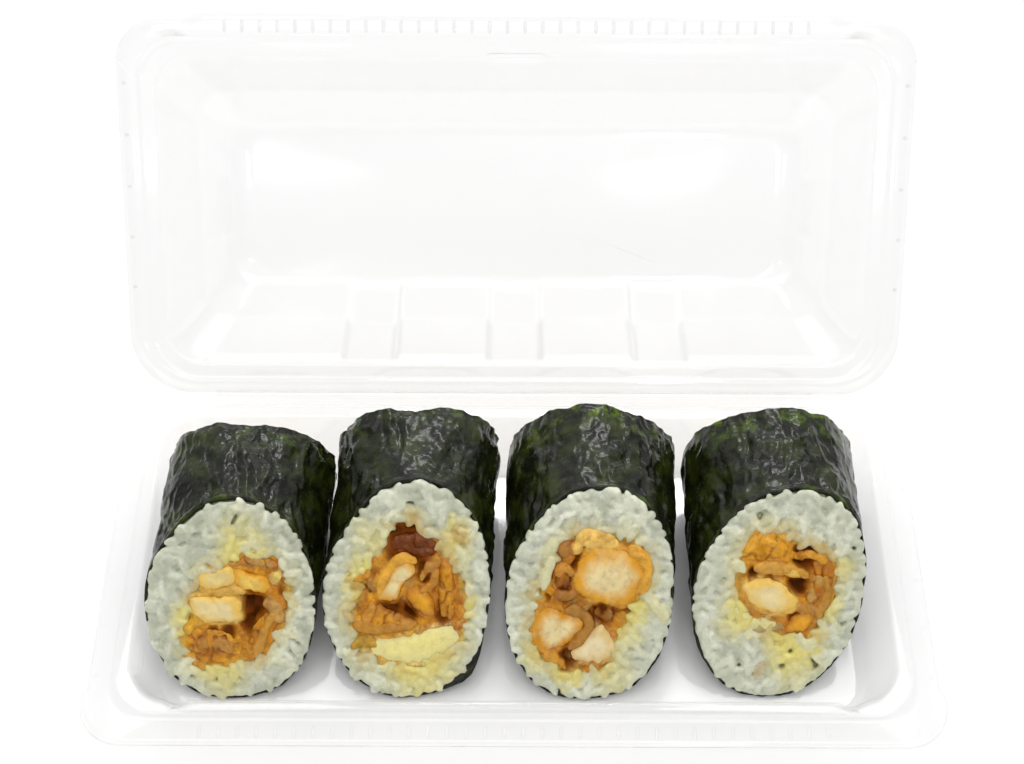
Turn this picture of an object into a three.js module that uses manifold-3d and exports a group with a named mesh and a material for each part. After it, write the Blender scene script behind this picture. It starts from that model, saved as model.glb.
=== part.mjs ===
// Takeaway pack of four thick seaweed rolls, cut on the slant, in a clear hinged box that stands open.
// Millimetres, +Z up, +Y towards the hinge. The origin is the middle of the tray's flat underside.
import * as THREE from 'three';
import { mergeVertices } from 'three/addons/utils/BufferGeometryUtils.js';
import Module from 'manifold-3d';

const wasm = await Module();
wasm.setup();

const rad = THREE.MathUtils.degToRad;

// ---- the box ----
const WIDTH = 215; // over the side flanges
const DEPTH = 105; // from the front edge to the hinge
const RIM_Z = 20; // top of the tray's sealing land
const SHEET = 0.6; // wall of tray and lid
const CAVITY = { side: 97.6, front: 41.3, rear: 44.2 }; // the tray's mouth, from the origin
const MOUTH_R = 11; // its corners
const FLANGE_R = { front: 11.5, rear: 17 };
const LAND = 3.6; // the sealing land round the mouth
const STEP = { run: 0.8, drop: 1 }; // from the land down to the outer flange
const WALL_RUN = 6.6; // how far the mouth stands outside the floor
const FLOOR_BEND = { run: 1.7, top: 2 }; // from the floor up into the wall
const EDGE_TURN = { run: 0.7, drop: 1 }; // the tray's outer edge is turned down
const TAB = { out: 1.3, from: -37, full: -39 }; // pull tabs at the front corners
const HINGE_Y = DEPTH / 2;
const HINGE_GAP = 0.2; // from the axis to each flange's edge
const LID_GAP = 0.4; // between the closed lid and the tray
const LID_RISE = 36; // the lid's panel above the rim
const LID_INSET = { side: 14.6, front: 24, rear: 17 }; // the panel's edges from the mouth
const LID_WALL = { fillet: 1.6, shoulder: 13.5, snapTop: 4.4, snap: 2 }; // heights of its bends
const FLUTE = { count: 3, pitch: 41.3, width: 15.6, out: 1.6, shoulder: 0.8 };
const SNAP = { width: 16.4, out: 1, shoulder: 0.8 };
const LID_EDGE_BACK = { by: 1.6, from: 86, full: 88 }; // the lid's front corners stand back
const OPEN_DEG = 130; // how far the lid stands from shut
const CORNER_STEPS = 4;
const STOP_GAP = 0.4; // the least length of a side's stretch between two stops

// ---- the rolls ----
const ROLL_Z = 22; // the axis above the table
const TIP_Z = 1.2; // height where a cut face meets the tray
const NORI = 0.8;
const NORI_DENT = 0.3;
const FIT = 0.35; // gap between neighbouring foods
const RICE_PROUD = 0.5; // the rice's cut face ahead of the nori
const NORI_BACK = 0.7; // the nori's front edge behind the slanted cut, along the roll
const OUTLINE_STEPS = 24;
const MIDWAY = 0.5; // a station half way along a roll
const STATIONS = [0, MIDWAY, 1];
const GRAIN = { length: 6.4, width: 2.9, depth: 2.5, sunk: 0.35, fromRim: 1.6 };
const BAR_END = 0.7; // a filling's end rounds off over this length

const COLOURS = {
  clear: '#eef0f1',
  nori: '#1d2620',
  rice: '#dcdfce',
  sauce: '#8f4a1c',
  mayo: '#e6dc8e',
  chicken: '#ecdcb0',
  glazed: '#cf8a3a',
  brown: '#a9641f',
};

// Radii run from the axis outwards at 0, 45 ... 315 degrees, +X first, then up: cutRadii where the
// slanted cut meets the outside, and backRadii at the square back end.
// fillings: kind, x from the axis, height, half width, half height, tilt, squareness, how proud.
const ROLLS = [
  {
    x: -72, tip: -32.4, cut: 40, backX: -70, back: 26.9, flap: 0,
    cutRadii: [20.9, 21.9, 21.9, 21.3, 23.5, 23.4, 21, 21.7],
    backRadii: [22.4, 21.8, 20.2, 23.2, 23.4, 22.7, 21, 22],
    core: { x: -1, z: 20.2, w: 14.6, h: 12.6 },
    fillings: [
      ['chicken', -4.2, 20.8, 6.9, 3.2, 0, 4, 1.2],
      ['glazed', 4.4, 26.6, 5.2, 2.6, -16, 3, 1.0],
      ['chicken', -6, 26.9, 4.2, 2.0, 12, 3, 0.7],
      ['brown', 8.2, 30.9, 4.6, 1.1, -8, 2, 0.5],
      ['brown', -5.5, 12.9, 7.4, 2.2, -4, 2.4, 0.9],
      ['brown', 7.2, 15.2, 3.8, 4.3, 20, 2.4, 0.7],
    ],
  },
  {
    x: -27.5, tip: -32.2, cut: 43.7, backX: -25.5, back: 31.8, flap: 2,
    cutRadii: [21.5, 22.9, 22.1, 20.3, 22.4, 22.2, 21, 21.4],
    backRadii: [21.5, 23.4, 20.6, 23.6, 21.6, 22, 21, 22],
    core: { x: -0.6, z: 21, w: 15.4, h: 13.6 },
    fillings: [
      ['mayo', -0.8, 12.2, 12.6, 2.9, 4, 2.2, 0.4],
      ['brown', 0.6, 31, 5, 2.4, -6, 2.4, 0.8],
      ['glazed', -3.4, 24.8, 5.2, 3.1, 38, 2.4, 1.2],
      ['glazed', 3.8, 20.4, 4, 2.2, -34, 2.6, 0.9],
      ['brown', 10.4, 23, 2, 6, -4, 2.4, 0.7],
      ['brown', -8.6, 17.6, 5.6, 1.6, 14, 2.2, 0.6],
    ],
  },
  {
    x: 20, tip: -32.3, cut: 42.5, backX: 21, back: 32.4, flap: 0,
    cutRadii: [21.4, 23.2, 22, 21, 22.5, 23.2, 20.9, 21.8],
    backRadii: [23.2, 21.3, 22, 21.6, 23.2, 22.8, 21, 22.4],
    core: { x: -1.2, z: 21, w: 15.2, h: 14 },
    fillings: [
      ['glazed', 5, 26.8, 8.9, 5.1, -8, 2.6, 1.4],
      ['glazed', -8, 16, 6.6, 4.6, -12, 2.6, 1.1],
      ['chicken', 2.6, 12, 5, 3.4, 24, 2, 1.0],
      ['brown', -8.4, 27.2, 2.3, 5.6, -24, 2.2, 0.6],
    ],
  },
  {
    x: 68.8, tip: -31.5, cut: 41.6, backX: 68.5, back: 31.8, flap: 0,
    cutRadii: [21.7, 24.6, 21.7, 20.8, 22.9, 23.3, 21, 20.4],
    backRadii: [23.3, 22.3, 22, 21.7, 23.1, 22.8, 21, 21.8],
    core: { x: 0.4, z: 23.6, w: 14.8, h: 12.6 },
    fillings: [
      ['chicken', -3, 22.2, 7.1, 2.7, -4, 2.6, 1.3],
      ['brown', -4, 31.8, 6.4, 2.5, 8, 2.2, 0.9],
      ['glazed', 3.4, 27.7, 4.4, 1.2, -4, 2.4, 0.8],
      ['brown', 10.2, 23.4, 3.3, 6.6, 6, 2.2, 0.7],
      ['glazed', 4.6, 16.4, 4, 1.8, 22, 2.2, 0.8],
      ['mayo', -6.6, 16.8, 5.4, 1.9, -14, 2.2, 0.4],
    ],
  },
];

// ---- helpers ----

// A seeded draw between 0 and 1, the same each time.
function draw(seed) {
  let state = seed;
  return () => {
    state = (state + 0x6d2b79f5) | 0;
    let t = Math.imul(state ^ (state >>> 15), 1 | state);
    t = (t + Math.imul(t ^ (t >>> 7), 61 | t)) ^ t;
    return ((t ^ (t >>> 14)) >>> 0) / 4294967296;
  };
}

function signedVolume(points, faces) {
  const at = (i) => new THREE.Vector3(...points[i]);
  return faces.reduce((sum, [a, b, c]) => sum + at(a).dot(at(b).cross(at(c))) / 6, 0);
}

// A closed surface through rings with the same number of points. Capped rings end in flat lids,
// whose corners are read in the plane of axes u and v; a looped set joins its last ring to its first.
// The bands from number crossed on are split along their other diagonal.
function loft(rings, { looped = false, crossed = Infinity, u = 0, v = 2 } = {}) {
  const count = rings[0].length;
  const points = rings.flat();
  let faces = [];
  const bands = looped ? rings.length : rings.length - 1;
  for (let r = 0; r < bands; r += 1) {
    const low = r * count;
    const high = ((r + 1) % rings.length) * count;
    for (let i = 0; i < count; i += 1) {
      const j = (i + 1) % count;
      if (r < crossed) faces.push([low + i, low + j, high + j], [low + i, high + j, high + i]);
      else faces.push([low + i, low + j, high + i], [low + j, high + j, high + i]);
    }
  }
  if (!looped) {
    for (const [start, ring, turned] of [[0, rings[0], true], [points.length - count, rings.at(-1), false]]) {
      const flat = ring.map((p) => new THREE.Vector2(p[u], p[v]));
      const clockwise = THREE.ShapeUtils.isClockWise(flat);
      for (const [a, b, c] of THREE.ShapeUtils.triangulateShape(flat, [])) {
        const corners = [start + a, start + b, start + c];
        const [p, q, s] = [flat[a], flat[b], flat[c]];
        const facing = (q.x - p.x) * (s.y - p.y) - (q.y - p.y) * (s.x - p.x) > 0;
        faces.push(facing === (clockwise !== turned) ? corners.reverse() : corners);
      }
    }
  }
  if (signedVolume(points, faces) < 0) faces = faces.map(([a, b, c]) => [a, c, b]);
  const geometry = new THREE.BufferGeometry();
  geometry.setAttribute('position', new THREE.Float32BufferAttribute(points.flat(), 3));
  geometry.setIndex(faces.flat());
  return geometry;
}

function toSolid(source) {
  const geometry = source.clone();
  for (const name of ['normal', 'uv']) geometry.deleteAttribute(name);
  const merged = mergeVertices(geometry, 1e-4);
  return new wasm.Manifold(new wasm.Mesh({
    numProp: 3,
    vertProperties: new Float32Array(merged.attributes.position.array),
    triVerts: new Uint32Array(merged.index.array),
  }));
}

// The largest piece of a solid, so that no loose scrap is kept.
function toGeometry(solid) {
  const whole = solid.decompose().sort((a, b) => b.volume() - a.volume())[0];
  const mesh = whole.getMesh();
  const geometry = new THREE.BufferGeometry();
  geometry.setAttribute('position', new THREE.Float32BufferAttribute(mesh.vertProperties, 3));
  geometry.setIndex([...mesh.triVerts]);
  return geometry;
}

function addNode(parent, name, geometry, colour, finish = {}) {
  geometry.computeVertexNormals();
  const material = new THREE.MeshStandardMaterial({ color: colour, roughness: 0.6, metalness: 0, ...finish });
  const mesh = new THREE.Mesh(geometry, material);
  mesh.name = name;
  parent.add(mesh);
}

// ---- tray and lid: formed sheet ----

const CLEAR_FINISH = { roughness: 0.05, transparent: true, opacity: 0.35 };

// Points of a sheet's other face, a wall's thickness to the right of the way the profile runs,
// or to its left where the thickness is negative.
function offsetProfile(profile, by) {
  const normals = profile.slice(1).map(([d, z], i) => {
    const [d0, z0] = profile[i];
    const length = Math.hypot(d - d0, z - z0);
    return [(z - z0) / length, -(d - d0) / length];
  });
  return profile.map(([d, z], i) => {
    const before = normals[Math.max(i - 1, 0)];
    const after = normals[Math.min(i, normals.length - 1)];
    const sum = [before[0] + after[0], before[1] + after[1]];
    const scale = by / (1 + before[0] * after[0] + before[1] * after[1]);
    return [d + sum[0] * scale, z + sum[1] * scale];
  });
}

const FLANGE_REACH = {
  side: WIDTH / 2 - CAVITY.side,
  front: DEPTH / 2 - CAVITY.front,
  rear: HINGE_Y - HINGE_GAP - CAVITY.rear,
};
const STEP_END = LAND + STEP.run;

// How far a profile's point stands from the mouth on one side of the box. Outside the step the
// flange is wider or narrower by side, and inside the mouth the lid's walls lean by side.
function reach(d, way) {
  if (d > STEP_END) {
    return STEP_END + ((d - STEP_END) * (FLANGE_REACH[way] - STEP_END)) / (FLANGE_REACH.side - STEP_END);
  }
  return d;
}

function lidReach(d, way) {
  return d < 0 ? (d * LID_INSET[way]) / LID_INSET.side : reach(d, way);
}

// Stops along a straight side, kept inside it where the side is too short for them.
function fitStops(stops, low, high) {
  return stops.map((stop, i) => {
    const [first, last] = [low + STOP_GAP * (i + 1), high - STOP_GAP * (stops.length - i)];
    return THREE.MathUtils.clamp(stop, first, last);
  });
}

// One level of the box seen from above: a rectangle with round corners, and stops along its
// straight sides where something in it starts or ends.
function level([d, z], way, stops, shape) {
  const side = CAVITY.side + way(d, 'side');
  const front = -CAVITY.front - way(d, 'front');
  const rear = CAVITY.rear + way(d, 'rear');
  const share = THREE.MathUtils.clamp(d / FLANGE_REACH.side, 0, 1);
  const radius = (full) => (d < 0 ? MOUTH_R + d * 0.3 : THREE.MathUtils.lerp(MOUTH_R, full, share));
  const corner = (x, y, r, start) => {
    const centre = [x - Math.sign(x) * r, y - Math.sign(y) * r];
    return Array.from({ length: CORNER_STEPS + 1 }, (_, i) => {
      const angle = rad(start + (90 * i) / CORNER_STEPS);
      return [centre[0] + r * Math.cos(angle), centre[1] + r * Math.sin(angle)];
    });
  };
  const [frontR, rearR] = [radius(FLANGE_R.front), radius(FLANGE_R.rear)];
  const sideStops = fitStops(stops.side, front + frontR, rear - rearR);
  const frontStops = fitStops(stops.front, frontR - side, side - frontR);
  const outline = [
    ...corner(side, front, frontR, -90),
    ...sideStops.map((y) => [side, y]),
    ...corner(side, rear, rearR, 0),
    ...stops.rear.toReversed().map((x) => [x, rear]),
    ...corner(-side, rear, rearR, 90),
    ...sideStops.toReversed().map((y) => [-side, y]),
    ...corner(-side, front, frontR, 180),
    ...frontStops.map((x) => [x, front]),
  ];
  return outline.map(([x, y]) => [...shape(x, y, z, d), z]);
}

function formedSheet(profile, way, stops, shape, wall = SHEET) {
  const other = offsetProfile(profile, wall).reverse();
  const rings = [...profile, ...other].map((point) => level(point, way, stops, shape));
  return loft(rings, { u: 0, v: 1 });
}

const smoothStep = THREE.MathUtils.smoothstep;

function makeTray() {
  const outer = RIM_Z - STEP.drop;
  const edge = FLANGE_REACH.side;
  const profile = [
    [-WALL_RUN - FLOOR_BEND.run, SHEET],
    [-WALL_RUN, SHEET],
    [-WALL_RUN + FLOOR_BEND.run, FLOOR_BEND.top],
    [-0.5, RIM_Z - 0.6],
    [0.2, RIM_Z],
    [LAND, RIM_Z],
    [STEP_END, outer],
    [edge - EDGE_TURN.run, outer],
    [edge, outer - EDGE_TURN.drop],
  ];
  const bulge = (x, y, z, d) => {
    const out = d > STEP_END + 1 ? TAB.out * smoothStep(-y, -TAB.from, -TAB.full) : 0;
    return [x + Math.sign(x) * out, y];
  };
  const stops = { side: [TAB.full, TAB.from], rear: [], front: [] };
  return formedSheet(profile, reach, stops, bulge);
}

// Where each flute of the lid's rear wall starts and ends, from -X to +X.
function fluteStops() {
  return Array.from({ length: FLUTE.count }, (_, i) => {
    const middle = (i - (FLUTE.count - 1) / 2) * FLUTE.pitch;
    const half = FLUTE.width / 2;
    return [-half, -half + FLUTE.shoulder, half - FLUTE.shoulder, half].map((x) => middle + x);
  }).flat();
}

// The shut lid, lying on the tray.
function makeShutLid() {
  const low = RIM_Z + LID_GAP;
  const top = RIM_Z + LID_RISE;
  const inset = LID_INSET.side;
  const snapTop = low + LID_WALL.snapTop;
  const snapMiddle = low + LID_WALL.snap;
  const profile = [
    [-inset, top],
    [-inset * 0.92, top - LID_WALL.fillet],
    [-inset * 0.5, top - LID_WALL.shoulder],
    [-inset * 0.12, snapTop],
    [-inset * 0.06, snapMiddle],
    [-0.1, low],
    [LAND + 0.2, low],
    [STEP_END + 0.2, low - STEP.drop],
    [FLANGE_REACH.side, low - STEP.drop],
  ];
  const wallStops = fluteStops();
  const snapHalf = SNAP.width / 2;
  const back = LID_EDGE_BACK;
  const stops = {
    side: [],
    rear: wallStops,
    front: [
      -back.full, -back.from, -snapHalf, -snapHalf + SNAP.shoulder,
      snapHalf - SNAP.shoulder, snapHalf, back.from, back.full,
    ],
  };
  const inFlute = (x) => {
    const place = wallStops.indexOf(x) % 4;
    return place === 1 || place === 2;
  };
  const shape = (x, y, z, d) => {
    const fluted = z > snapTop - 1 && d > -inset * 0.95 && inFlute(x) && y > 0;
    const snapped = Math.abs(z - snapMiddle) < 1 && Math.abs(x) < snapHalf - SNAP.shoulder / 2 && y < 0;
    const cornered = d > STEP_END + 1 && y < 0 && -y > HINGE_Y - FLANGE_R.front;
    const setBack = cornered ? back.by * smoothStep(Math.abs(x), back.from, back.full) : 0;
    return [x, y + (fluted ? FLUTE.out : 0) - (snapped ? SNAP.out : 0) + setBack];
  };
  return formedSheet(profile, lidReach, stops, shape, -SHEET);
}

// ---- the rolls ----

// A closed smooth curve through radii spread evenly round a turn, read at one angle in turns.
function radiusAt(radii, turn) {
  const n = radii.length;
  const place = (((turn % 1) + 1) % 1) * n;
  const i = Math.floor(place);
  const [a, b, c, d] = [-1, 0, 1, 2].map((k) => radii[(i + k + n) % n]);
  const t = place - i;
  return b + 0.5 * t * (c - a + t * (2 * a - 5 * b + 4 * c - d + t * (3 * (b - c) + d - a)));
}

// Everything about one roll's form: its outline, its cut, and where a point of it lies.
function rollForm(roll) {
  const slope = Math.tan(rad(roll.cut));
  const cutY = (z) => roll.tip + slope * (z - TIP_Z);
  // A point of the cut's section, share 0 at the back end and 1 at the cut face, moved ahead.
  const place = ([u, z], share, ahead = 0) => {
    const turn = Math.atan2(z - ROLL_Z, u) / (2 * Math.PI);
    const grown = radiusAt(roll.backRadii, turn) / radiusAt(roll.cutRadii, turn);
    const back = [roll.backX + u * grown, roll.back, ROLL_Z + (z - ROLL_Z) * grown];
    const cut = [roll.x + u, cutY(z), z];
    const [x, y, height] = back.map((value, i) => THREE.MathUtils.lerp(value, cut[i], share));
    return [x, y - ahead, height];
  };
  const outline = (inset, steps = OUTLINE_STEPS) => Array.from({ length: steps }, (_, i) => {
    const turn = i / steps;
    const radius = radiusAt(roll.cutRadii, turn) - inset;
    return [radius * Math.cos(turn * 2 * Math.PI), ROLL_Z + radius * Math.sin(turn * 2 * Math.PI)];
  });
  const ring = (shape, share, ahead) => shape.map((point) => place(point, share, ahead));
  return { roll, slope, place, outline, ring };
}

function shrink(shape, factor) {
  const [u0, z0] = shape.reduce(([a, b], [u, z]) => [a + u, b + z], [0, 0]).map((s) => s / shape.length);
  return shape.map(([u, z]) => [u0 + (u - u0) * factor, z0 + (z - z0) * factor]);
}

// The sheet of seaweed: a thin tube with shallow dents, a little short of the rice at the cut.
function makeNori(form, seed) {
  const random = draw(seed);
  const dent = ([u, z], i) => {
    const flap = form.roll.flap * Math.max(0, 1 - Math.abs(i / OUTLINE_STEPS - 0.875) * 16);
    const radius = Math.hypot(u, z - ROLL_Z);
    const grown = (radius - NORI_DENT * random() + flap) / radius;
    return [u * grown, ROLL_Z + (z - ROLL_Z) * grown];
  };
  const outer = STATIONS.map((share) => {
    return form.ring(form.outline(0).map(dent), share, share === 1 ? -NORI_BACK : 0);
  });
  const inner = STATIONS.toReversed().map((share) => {
    return form.ring(form.outline(NORI), share, share === 1 ? -NORI_BACK : 0);
  });
  return loft([...outer, ...inner], { looped: true, crossed: STATIONS.length });
}

function fillingShape([, x, z, w, h, tilt, square], grow = 0, steps = 8) {
  const lean = rad(tilt);
  return Array.from({ length: steps }, (_, i) => {
    const angle = ((i + 0.5) / steps) * 2 * Math.PI;
    const [c, s] = [Math.cos(angle), Math.sin(angle)];
    const u = Math.sign(c) * (w + grow) * Math.abs(c) ** (2 / square);
    const v = Math.sign(s) * (h + grow) * Math.abs(s) ** (2 / square);
    return [x + u * Math.cos(lean) - v * Math.sin(lean), z + u * Math.sin(lean) + v * Math.cos(lean)];
  });
}

function coreShape({ x, z, w, h }, grow) {
  return fillingShape(['core', x, z, w, h, 0, 2.3], grow, 14);
}

// A bar that runs the length of the roll and stands proud of the cut with a rounded end.
function makeBar(form, shape, proud) {
  return loft([
    form.ring(shape, 0, 0),
    form.ring(shape, 1, proud - BAR_END),
    form.ring(shrink(shape, 0.8), 1, proud),
  ]);
}

// A way cut through the roll for such a bar, open at both ends.
function makeWay(form, shape) {
  return toSolid(loft([form.ring(shape, 0, -4), form.ring(shape, 1, 6)]));
}

function makeGrain(middle, direction, normal, size) {
  const grain = new THREE.SphereGeometry(0.5, 5, 3);
  grain.scale(GRAIN.width * size, GRAIN.length * size, GRAIN.depth * size);
  const across = new THREE.Vector3().crossVectors(direction, normal);
  const basis = new THREE.Matrix4().makeBasis(across, direction, normal);
  grain.applyMatrix4(basis.setPosition(middle));
  return toSolid(grain);
}

// Grains on one end of a roll: rows round the core, evenly spread, each turned by a seeded draw.
function endGrains(form, front, rows, seed) {
  const random = draw(seed);
  const { roll } = form;
  const upFace = front ? new THREE.Vector3(0, form.slope, 1).normalize() : new THREE.Vector3(0, 0, 1);
  const sideways = new THREE.Vector3(1, 0, 0);
  const normal = new THREE.Vector3().crossVectors(sideways, upFace).multiplyScalar(front ? 1 : -1);
  const grains = [];
  for (const [share, count] of rows) {
    for (let i = 0; i < count; i += 1) {
      const turn = (i + share + 0.4 * random()) / count;
      const [c, s] = [Math.cos(turn * 2 * Math.PI), Math.sin(turn * 2 * Math.PI)];
      const rim = radiusAt(roll.cutRadii, turn) - GRAIN.fromRim;
      const inner = [roll.core.x + (roll.core.w + 1) * c, roll.core.z + (roll.core.h + 1) * s];
      const u = THREE.MathUtils.lerp(inner[0], rim * c, share);
      const z = THREE.MathUtils.lerp(inner[1], ROLL_Z + rim * s, share);
      const heading = random() * Math.PI;
      const direction = sideways.clone().multiplyScalar(Math.cos(heading))
        .addScaledVector(upFace, Math.sin(heading)).addScaledVector(normal, 0.5 * (random() - 0.5));
      const across = new THREE.Vector3().crossVectors(direction.normalize(), normal).normalize();
      const facing = new THREE.Vector3().crossVectors(across, direction);
      const spot = front ? form.place([u, z], 1, RICE_PROUD) : form.place([u, z], 0);
      const middle = new THREE.Vector3(...spot).addScaledVector(normal, -GRAIN.sunk);
      grains.push(makeGrain(middle, direction, facing, 0.9 + 0.2 * random()));
    }
  }
  return grains;
}

const FRONT_ROWS = [[0.18, 5], [0.58, 7], [0.97, 12]];
const BACK_ROWS = [[0.5, 6]];

// The rice: a plump core with grains on both ends, kept clear of the nori and of the fillings.
function makeRice(form, ways, seed) {
  const inside = form.outline(NORI + FIT);
  const round = shrink(inside, 0.95);
  const core = toSolid(loft([
    form.ring(round, 0, 0),
    form.ring(inside, 0, 1),
    form.ring(inside, MIDWAY, 0),
    form.ring(inside, 1, RICE_PROUD - 0.8),
    form.ring(round, 1, RICE_PROUD),
  ]));
  const ahead = loft([form.ring(form.outline(0), 1, FIT - NORI_BACK), form.ring(form.outline(0), 1, 6)]);
  const behind = loft([form.ring(shrink(inside, 0.98), 0, -4), form.ring(shrink(inside, 0.98), 0, 4)]);
  const join = (grains) => grains.reduce((whole, grain) => whole.add(grain));
  const cutGrains = join(endGrains(form, true, FRONT_ROWS, seed)).intersect(toSolid(ahead));
  const backGrains = join(endGrains(form, false, BACK_ROWS, seed + 1)).intersect(toSolid(behind));
  return toGeometry(core.add(cutGrains).add(backGrains).subtract(join(ways)));
}

function makeRoll(parent, roll, index) {
  const form = rollForm(roll);
  const label = index + 1;
  const seed = 100 * label;
  addNode(parent, `nori_${label}`, makeNori(form, seed), COLOURS.nori, { roughness: 0.35 });
  const ways = roll.fillings.map((filling) => makeWay(form, fillingShape(filling, FIT)));
  const coreWay = makeWay(form, coreShape(roll.core, 0));
  addNode(parent, `rice_${label}`, makeRice(form, [coreWay, ...ways], seed + 10), COLOURS.rice);
  let sauce = toSolid(makeBar(form, coreShape(roll.core, -FIT), -0.2));
  for (const way of ways) sauce = sauce.subtract(way);
  addNode(parent, `sauce_${label}`, toGeometry(sauce), COLOURS.sauce, { roughness: 0.3 });
  roll.fillings.forEach((filling, i) => {
    const [kind, , , , , , , proud] = filling;
    let bar = toSolid(makeBar(form, fillingShape(filling), proud));
    for (const way of ways.slice(0, i)) bar = bar.subtract(way);
    addNode(parent, `${kind}_${label}${'abcdef'[i]}`, toGeometry(bar), COLOURS[kind]);
  });
}

// ---- the whole ----
const group = new THREE.Group();
addNode(group, 'tray', makeTray(), COLOURS.clear, CLEAR_FINISH);

const hinge = new THREE.Group();
const hingeZ = RIM_Z - STEP.drop + LID_GAP / 2;
hinge.position.set(0, HINGE_Y, hingeZ);
hinge.rotation.x = -rad(OPEN_DEG);
group.add(hinge);
const lid = makeShutLid();
lid.translate(0, -HINGE_Y, -hingeZ);
addNode(hinge, 'lid', lid, COLOURS.clear, CLEAR_FINISH);

ROLLS.forEach((roll, index) => makeRoll(group, roll, index));

export default group;
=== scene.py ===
"""Four cut rice rolls in a clear hinged takeaway box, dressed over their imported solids."""

import math

import bpy
import numpy as np
from mathutils import Matrix, Vector, kdtree, noise


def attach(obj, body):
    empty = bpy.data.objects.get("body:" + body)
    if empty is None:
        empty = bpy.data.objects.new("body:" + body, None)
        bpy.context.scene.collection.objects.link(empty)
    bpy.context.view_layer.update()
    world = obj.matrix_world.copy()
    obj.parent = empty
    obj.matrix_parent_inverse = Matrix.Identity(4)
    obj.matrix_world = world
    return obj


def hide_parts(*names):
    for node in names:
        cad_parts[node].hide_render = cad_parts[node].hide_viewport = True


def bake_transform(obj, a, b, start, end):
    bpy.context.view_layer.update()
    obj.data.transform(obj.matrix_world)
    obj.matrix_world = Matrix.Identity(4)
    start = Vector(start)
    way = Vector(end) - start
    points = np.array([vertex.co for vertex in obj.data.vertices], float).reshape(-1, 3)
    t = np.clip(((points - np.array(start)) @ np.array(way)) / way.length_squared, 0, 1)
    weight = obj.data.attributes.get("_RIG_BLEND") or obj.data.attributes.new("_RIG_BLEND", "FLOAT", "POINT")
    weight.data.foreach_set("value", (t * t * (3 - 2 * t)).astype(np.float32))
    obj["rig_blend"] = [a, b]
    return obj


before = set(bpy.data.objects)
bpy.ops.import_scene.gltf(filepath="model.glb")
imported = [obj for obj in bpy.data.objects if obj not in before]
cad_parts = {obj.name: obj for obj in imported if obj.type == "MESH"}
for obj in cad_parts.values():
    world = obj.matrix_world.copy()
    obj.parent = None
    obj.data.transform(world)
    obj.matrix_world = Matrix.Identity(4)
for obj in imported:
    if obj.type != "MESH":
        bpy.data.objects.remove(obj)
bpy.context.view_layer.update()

TAU = 2 * math.pi
MM = 0.001  # lengths below are millimetres, and Blender's are metres
noise.seed_set(1)  # noise vectors follow this seed, so that every run gives the same creases

# ---- the box, as its solids have it ----
SHEET = 0.6
RIM_Z = 20.0
DEPTH = 105.0
CAVITY = {"side": 97.6, "front": 41.3, "rear": 44.2}
FLANGE = {"side": 9.9, "front": 11.2, "rear": 8.1}  # reach of the flange outside the mouth
MOUTH_R = 11.0
FLANGE_R = {"front": 11.5, "rear": 17.0}
LAND = 3.6
STEP = {"run": 0.8, "drop": 1.0}
STEP_END = LAND + STEP["run"]
TAB = {"out": 1.3, "from": 37.0, "full": 39.0}
LID_GAP = 0.4
LID_RISE = 36.0
LID_INSET = {"side": 14.6, "front": 24.0, "rear": 17.0}
SNAP_TOP = 4.4
SNAP_MIDDLE = 2.0
FLUTE = {"count": 3, "pitch": 41.3, "width": 15.6, "out": 1.6, "shoulder": 1.0}
SNAP = {"width": 16.4, "out": 1.0, "shoulder": 1.0}
LID_EDGE_BACK = {"by": 1.6, "from": 84.5, "full": 89.5}
HINGE = np.array([0.0, DEPTH / 2, RIM_Z - STEP["drop"] + LID_GAP / 2])
OPEN_TURN = math.radians(130)

# ---- the rolls, as their solids have them ----
ROLL_Z = 22.0
ROLL_R = 22.0  # about the radius of a roll
TIP_Z = 1.2
NORI = 0.8
RICE_PROUD = 0.5
NORI_BACK = 0.7
FLAP_TURN = 0.875


def tone(red, green, blue):
    """A colour in screen levels of 0 to 255, as the linear colour that shaders take."""
    levels = np.array([red, green, blue]) / 255
    linear = np.where(levels <= 0.04045, levels / 12.92, ((levels + 0.055) / 1.055) ** 2.4)
    return (*linear, 1.0)


# ---- node trees ----


class Value:
    """A number on a node's socket. Arithmetic on it adds Math nodes to its tree."""

    def __init__(self, tree, socket):
        self.tree = tree
        self.socket = socket

    def math(self, operation, *operands):
        return self.tree.node("ShaderNodeMath", {"operation": operation}, dict(enumerate(operands)))

    def __add__(self, other):
        return self.math("ADD", self, other)

    __radd__ = __add__

    def __sub__(self, other):
        return self.math("SUBTRACT", self, other)

    def __rsub__(self, other):
        return self.math("SUBTRACT", other, self)

    def __mul__(self, other):
        return self.math("MULTIPLY", self, other)

    __rmul__ = __mul__

    def __pow__(self, power):
        return self.math("POWER", self, power)

    def rise(self, low, high):
        """0 below low and 1 above high, with a smooth rise between them."""
        settings = {"interpolation_type": "SMOOTHSTEP"}
        return self.tree.node("ShaderNodeMapRange", settings, {0: self, 1: low, 2: high})

    def also(self, output):
        """Another output of the node that this value comes from."""
        return Value(self.tree, self.socket.node.outputs[output])


class Tree:
    """A node tree, with the one method that makes its nodes."""

    def __init__(self, tree):
        self.tree = tree
        self.tree.nodes.clear()

    def node(self, kind, settings=None, sockets=None, output=0):
        made = self.tree.nodes.new(kind)
        for name, value in (settings or {}).items():
            setattr(made, name, value)
        for key, value in (sockets or {}).items():
            if isinstance(value, Value):
                self.tree.links.new(value.socket, made.inputs[key])
            else:
                made.inputs[key].default_value = value
        return Value(self, made.outputs[output]) if len(made.outputs) else made


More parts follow.
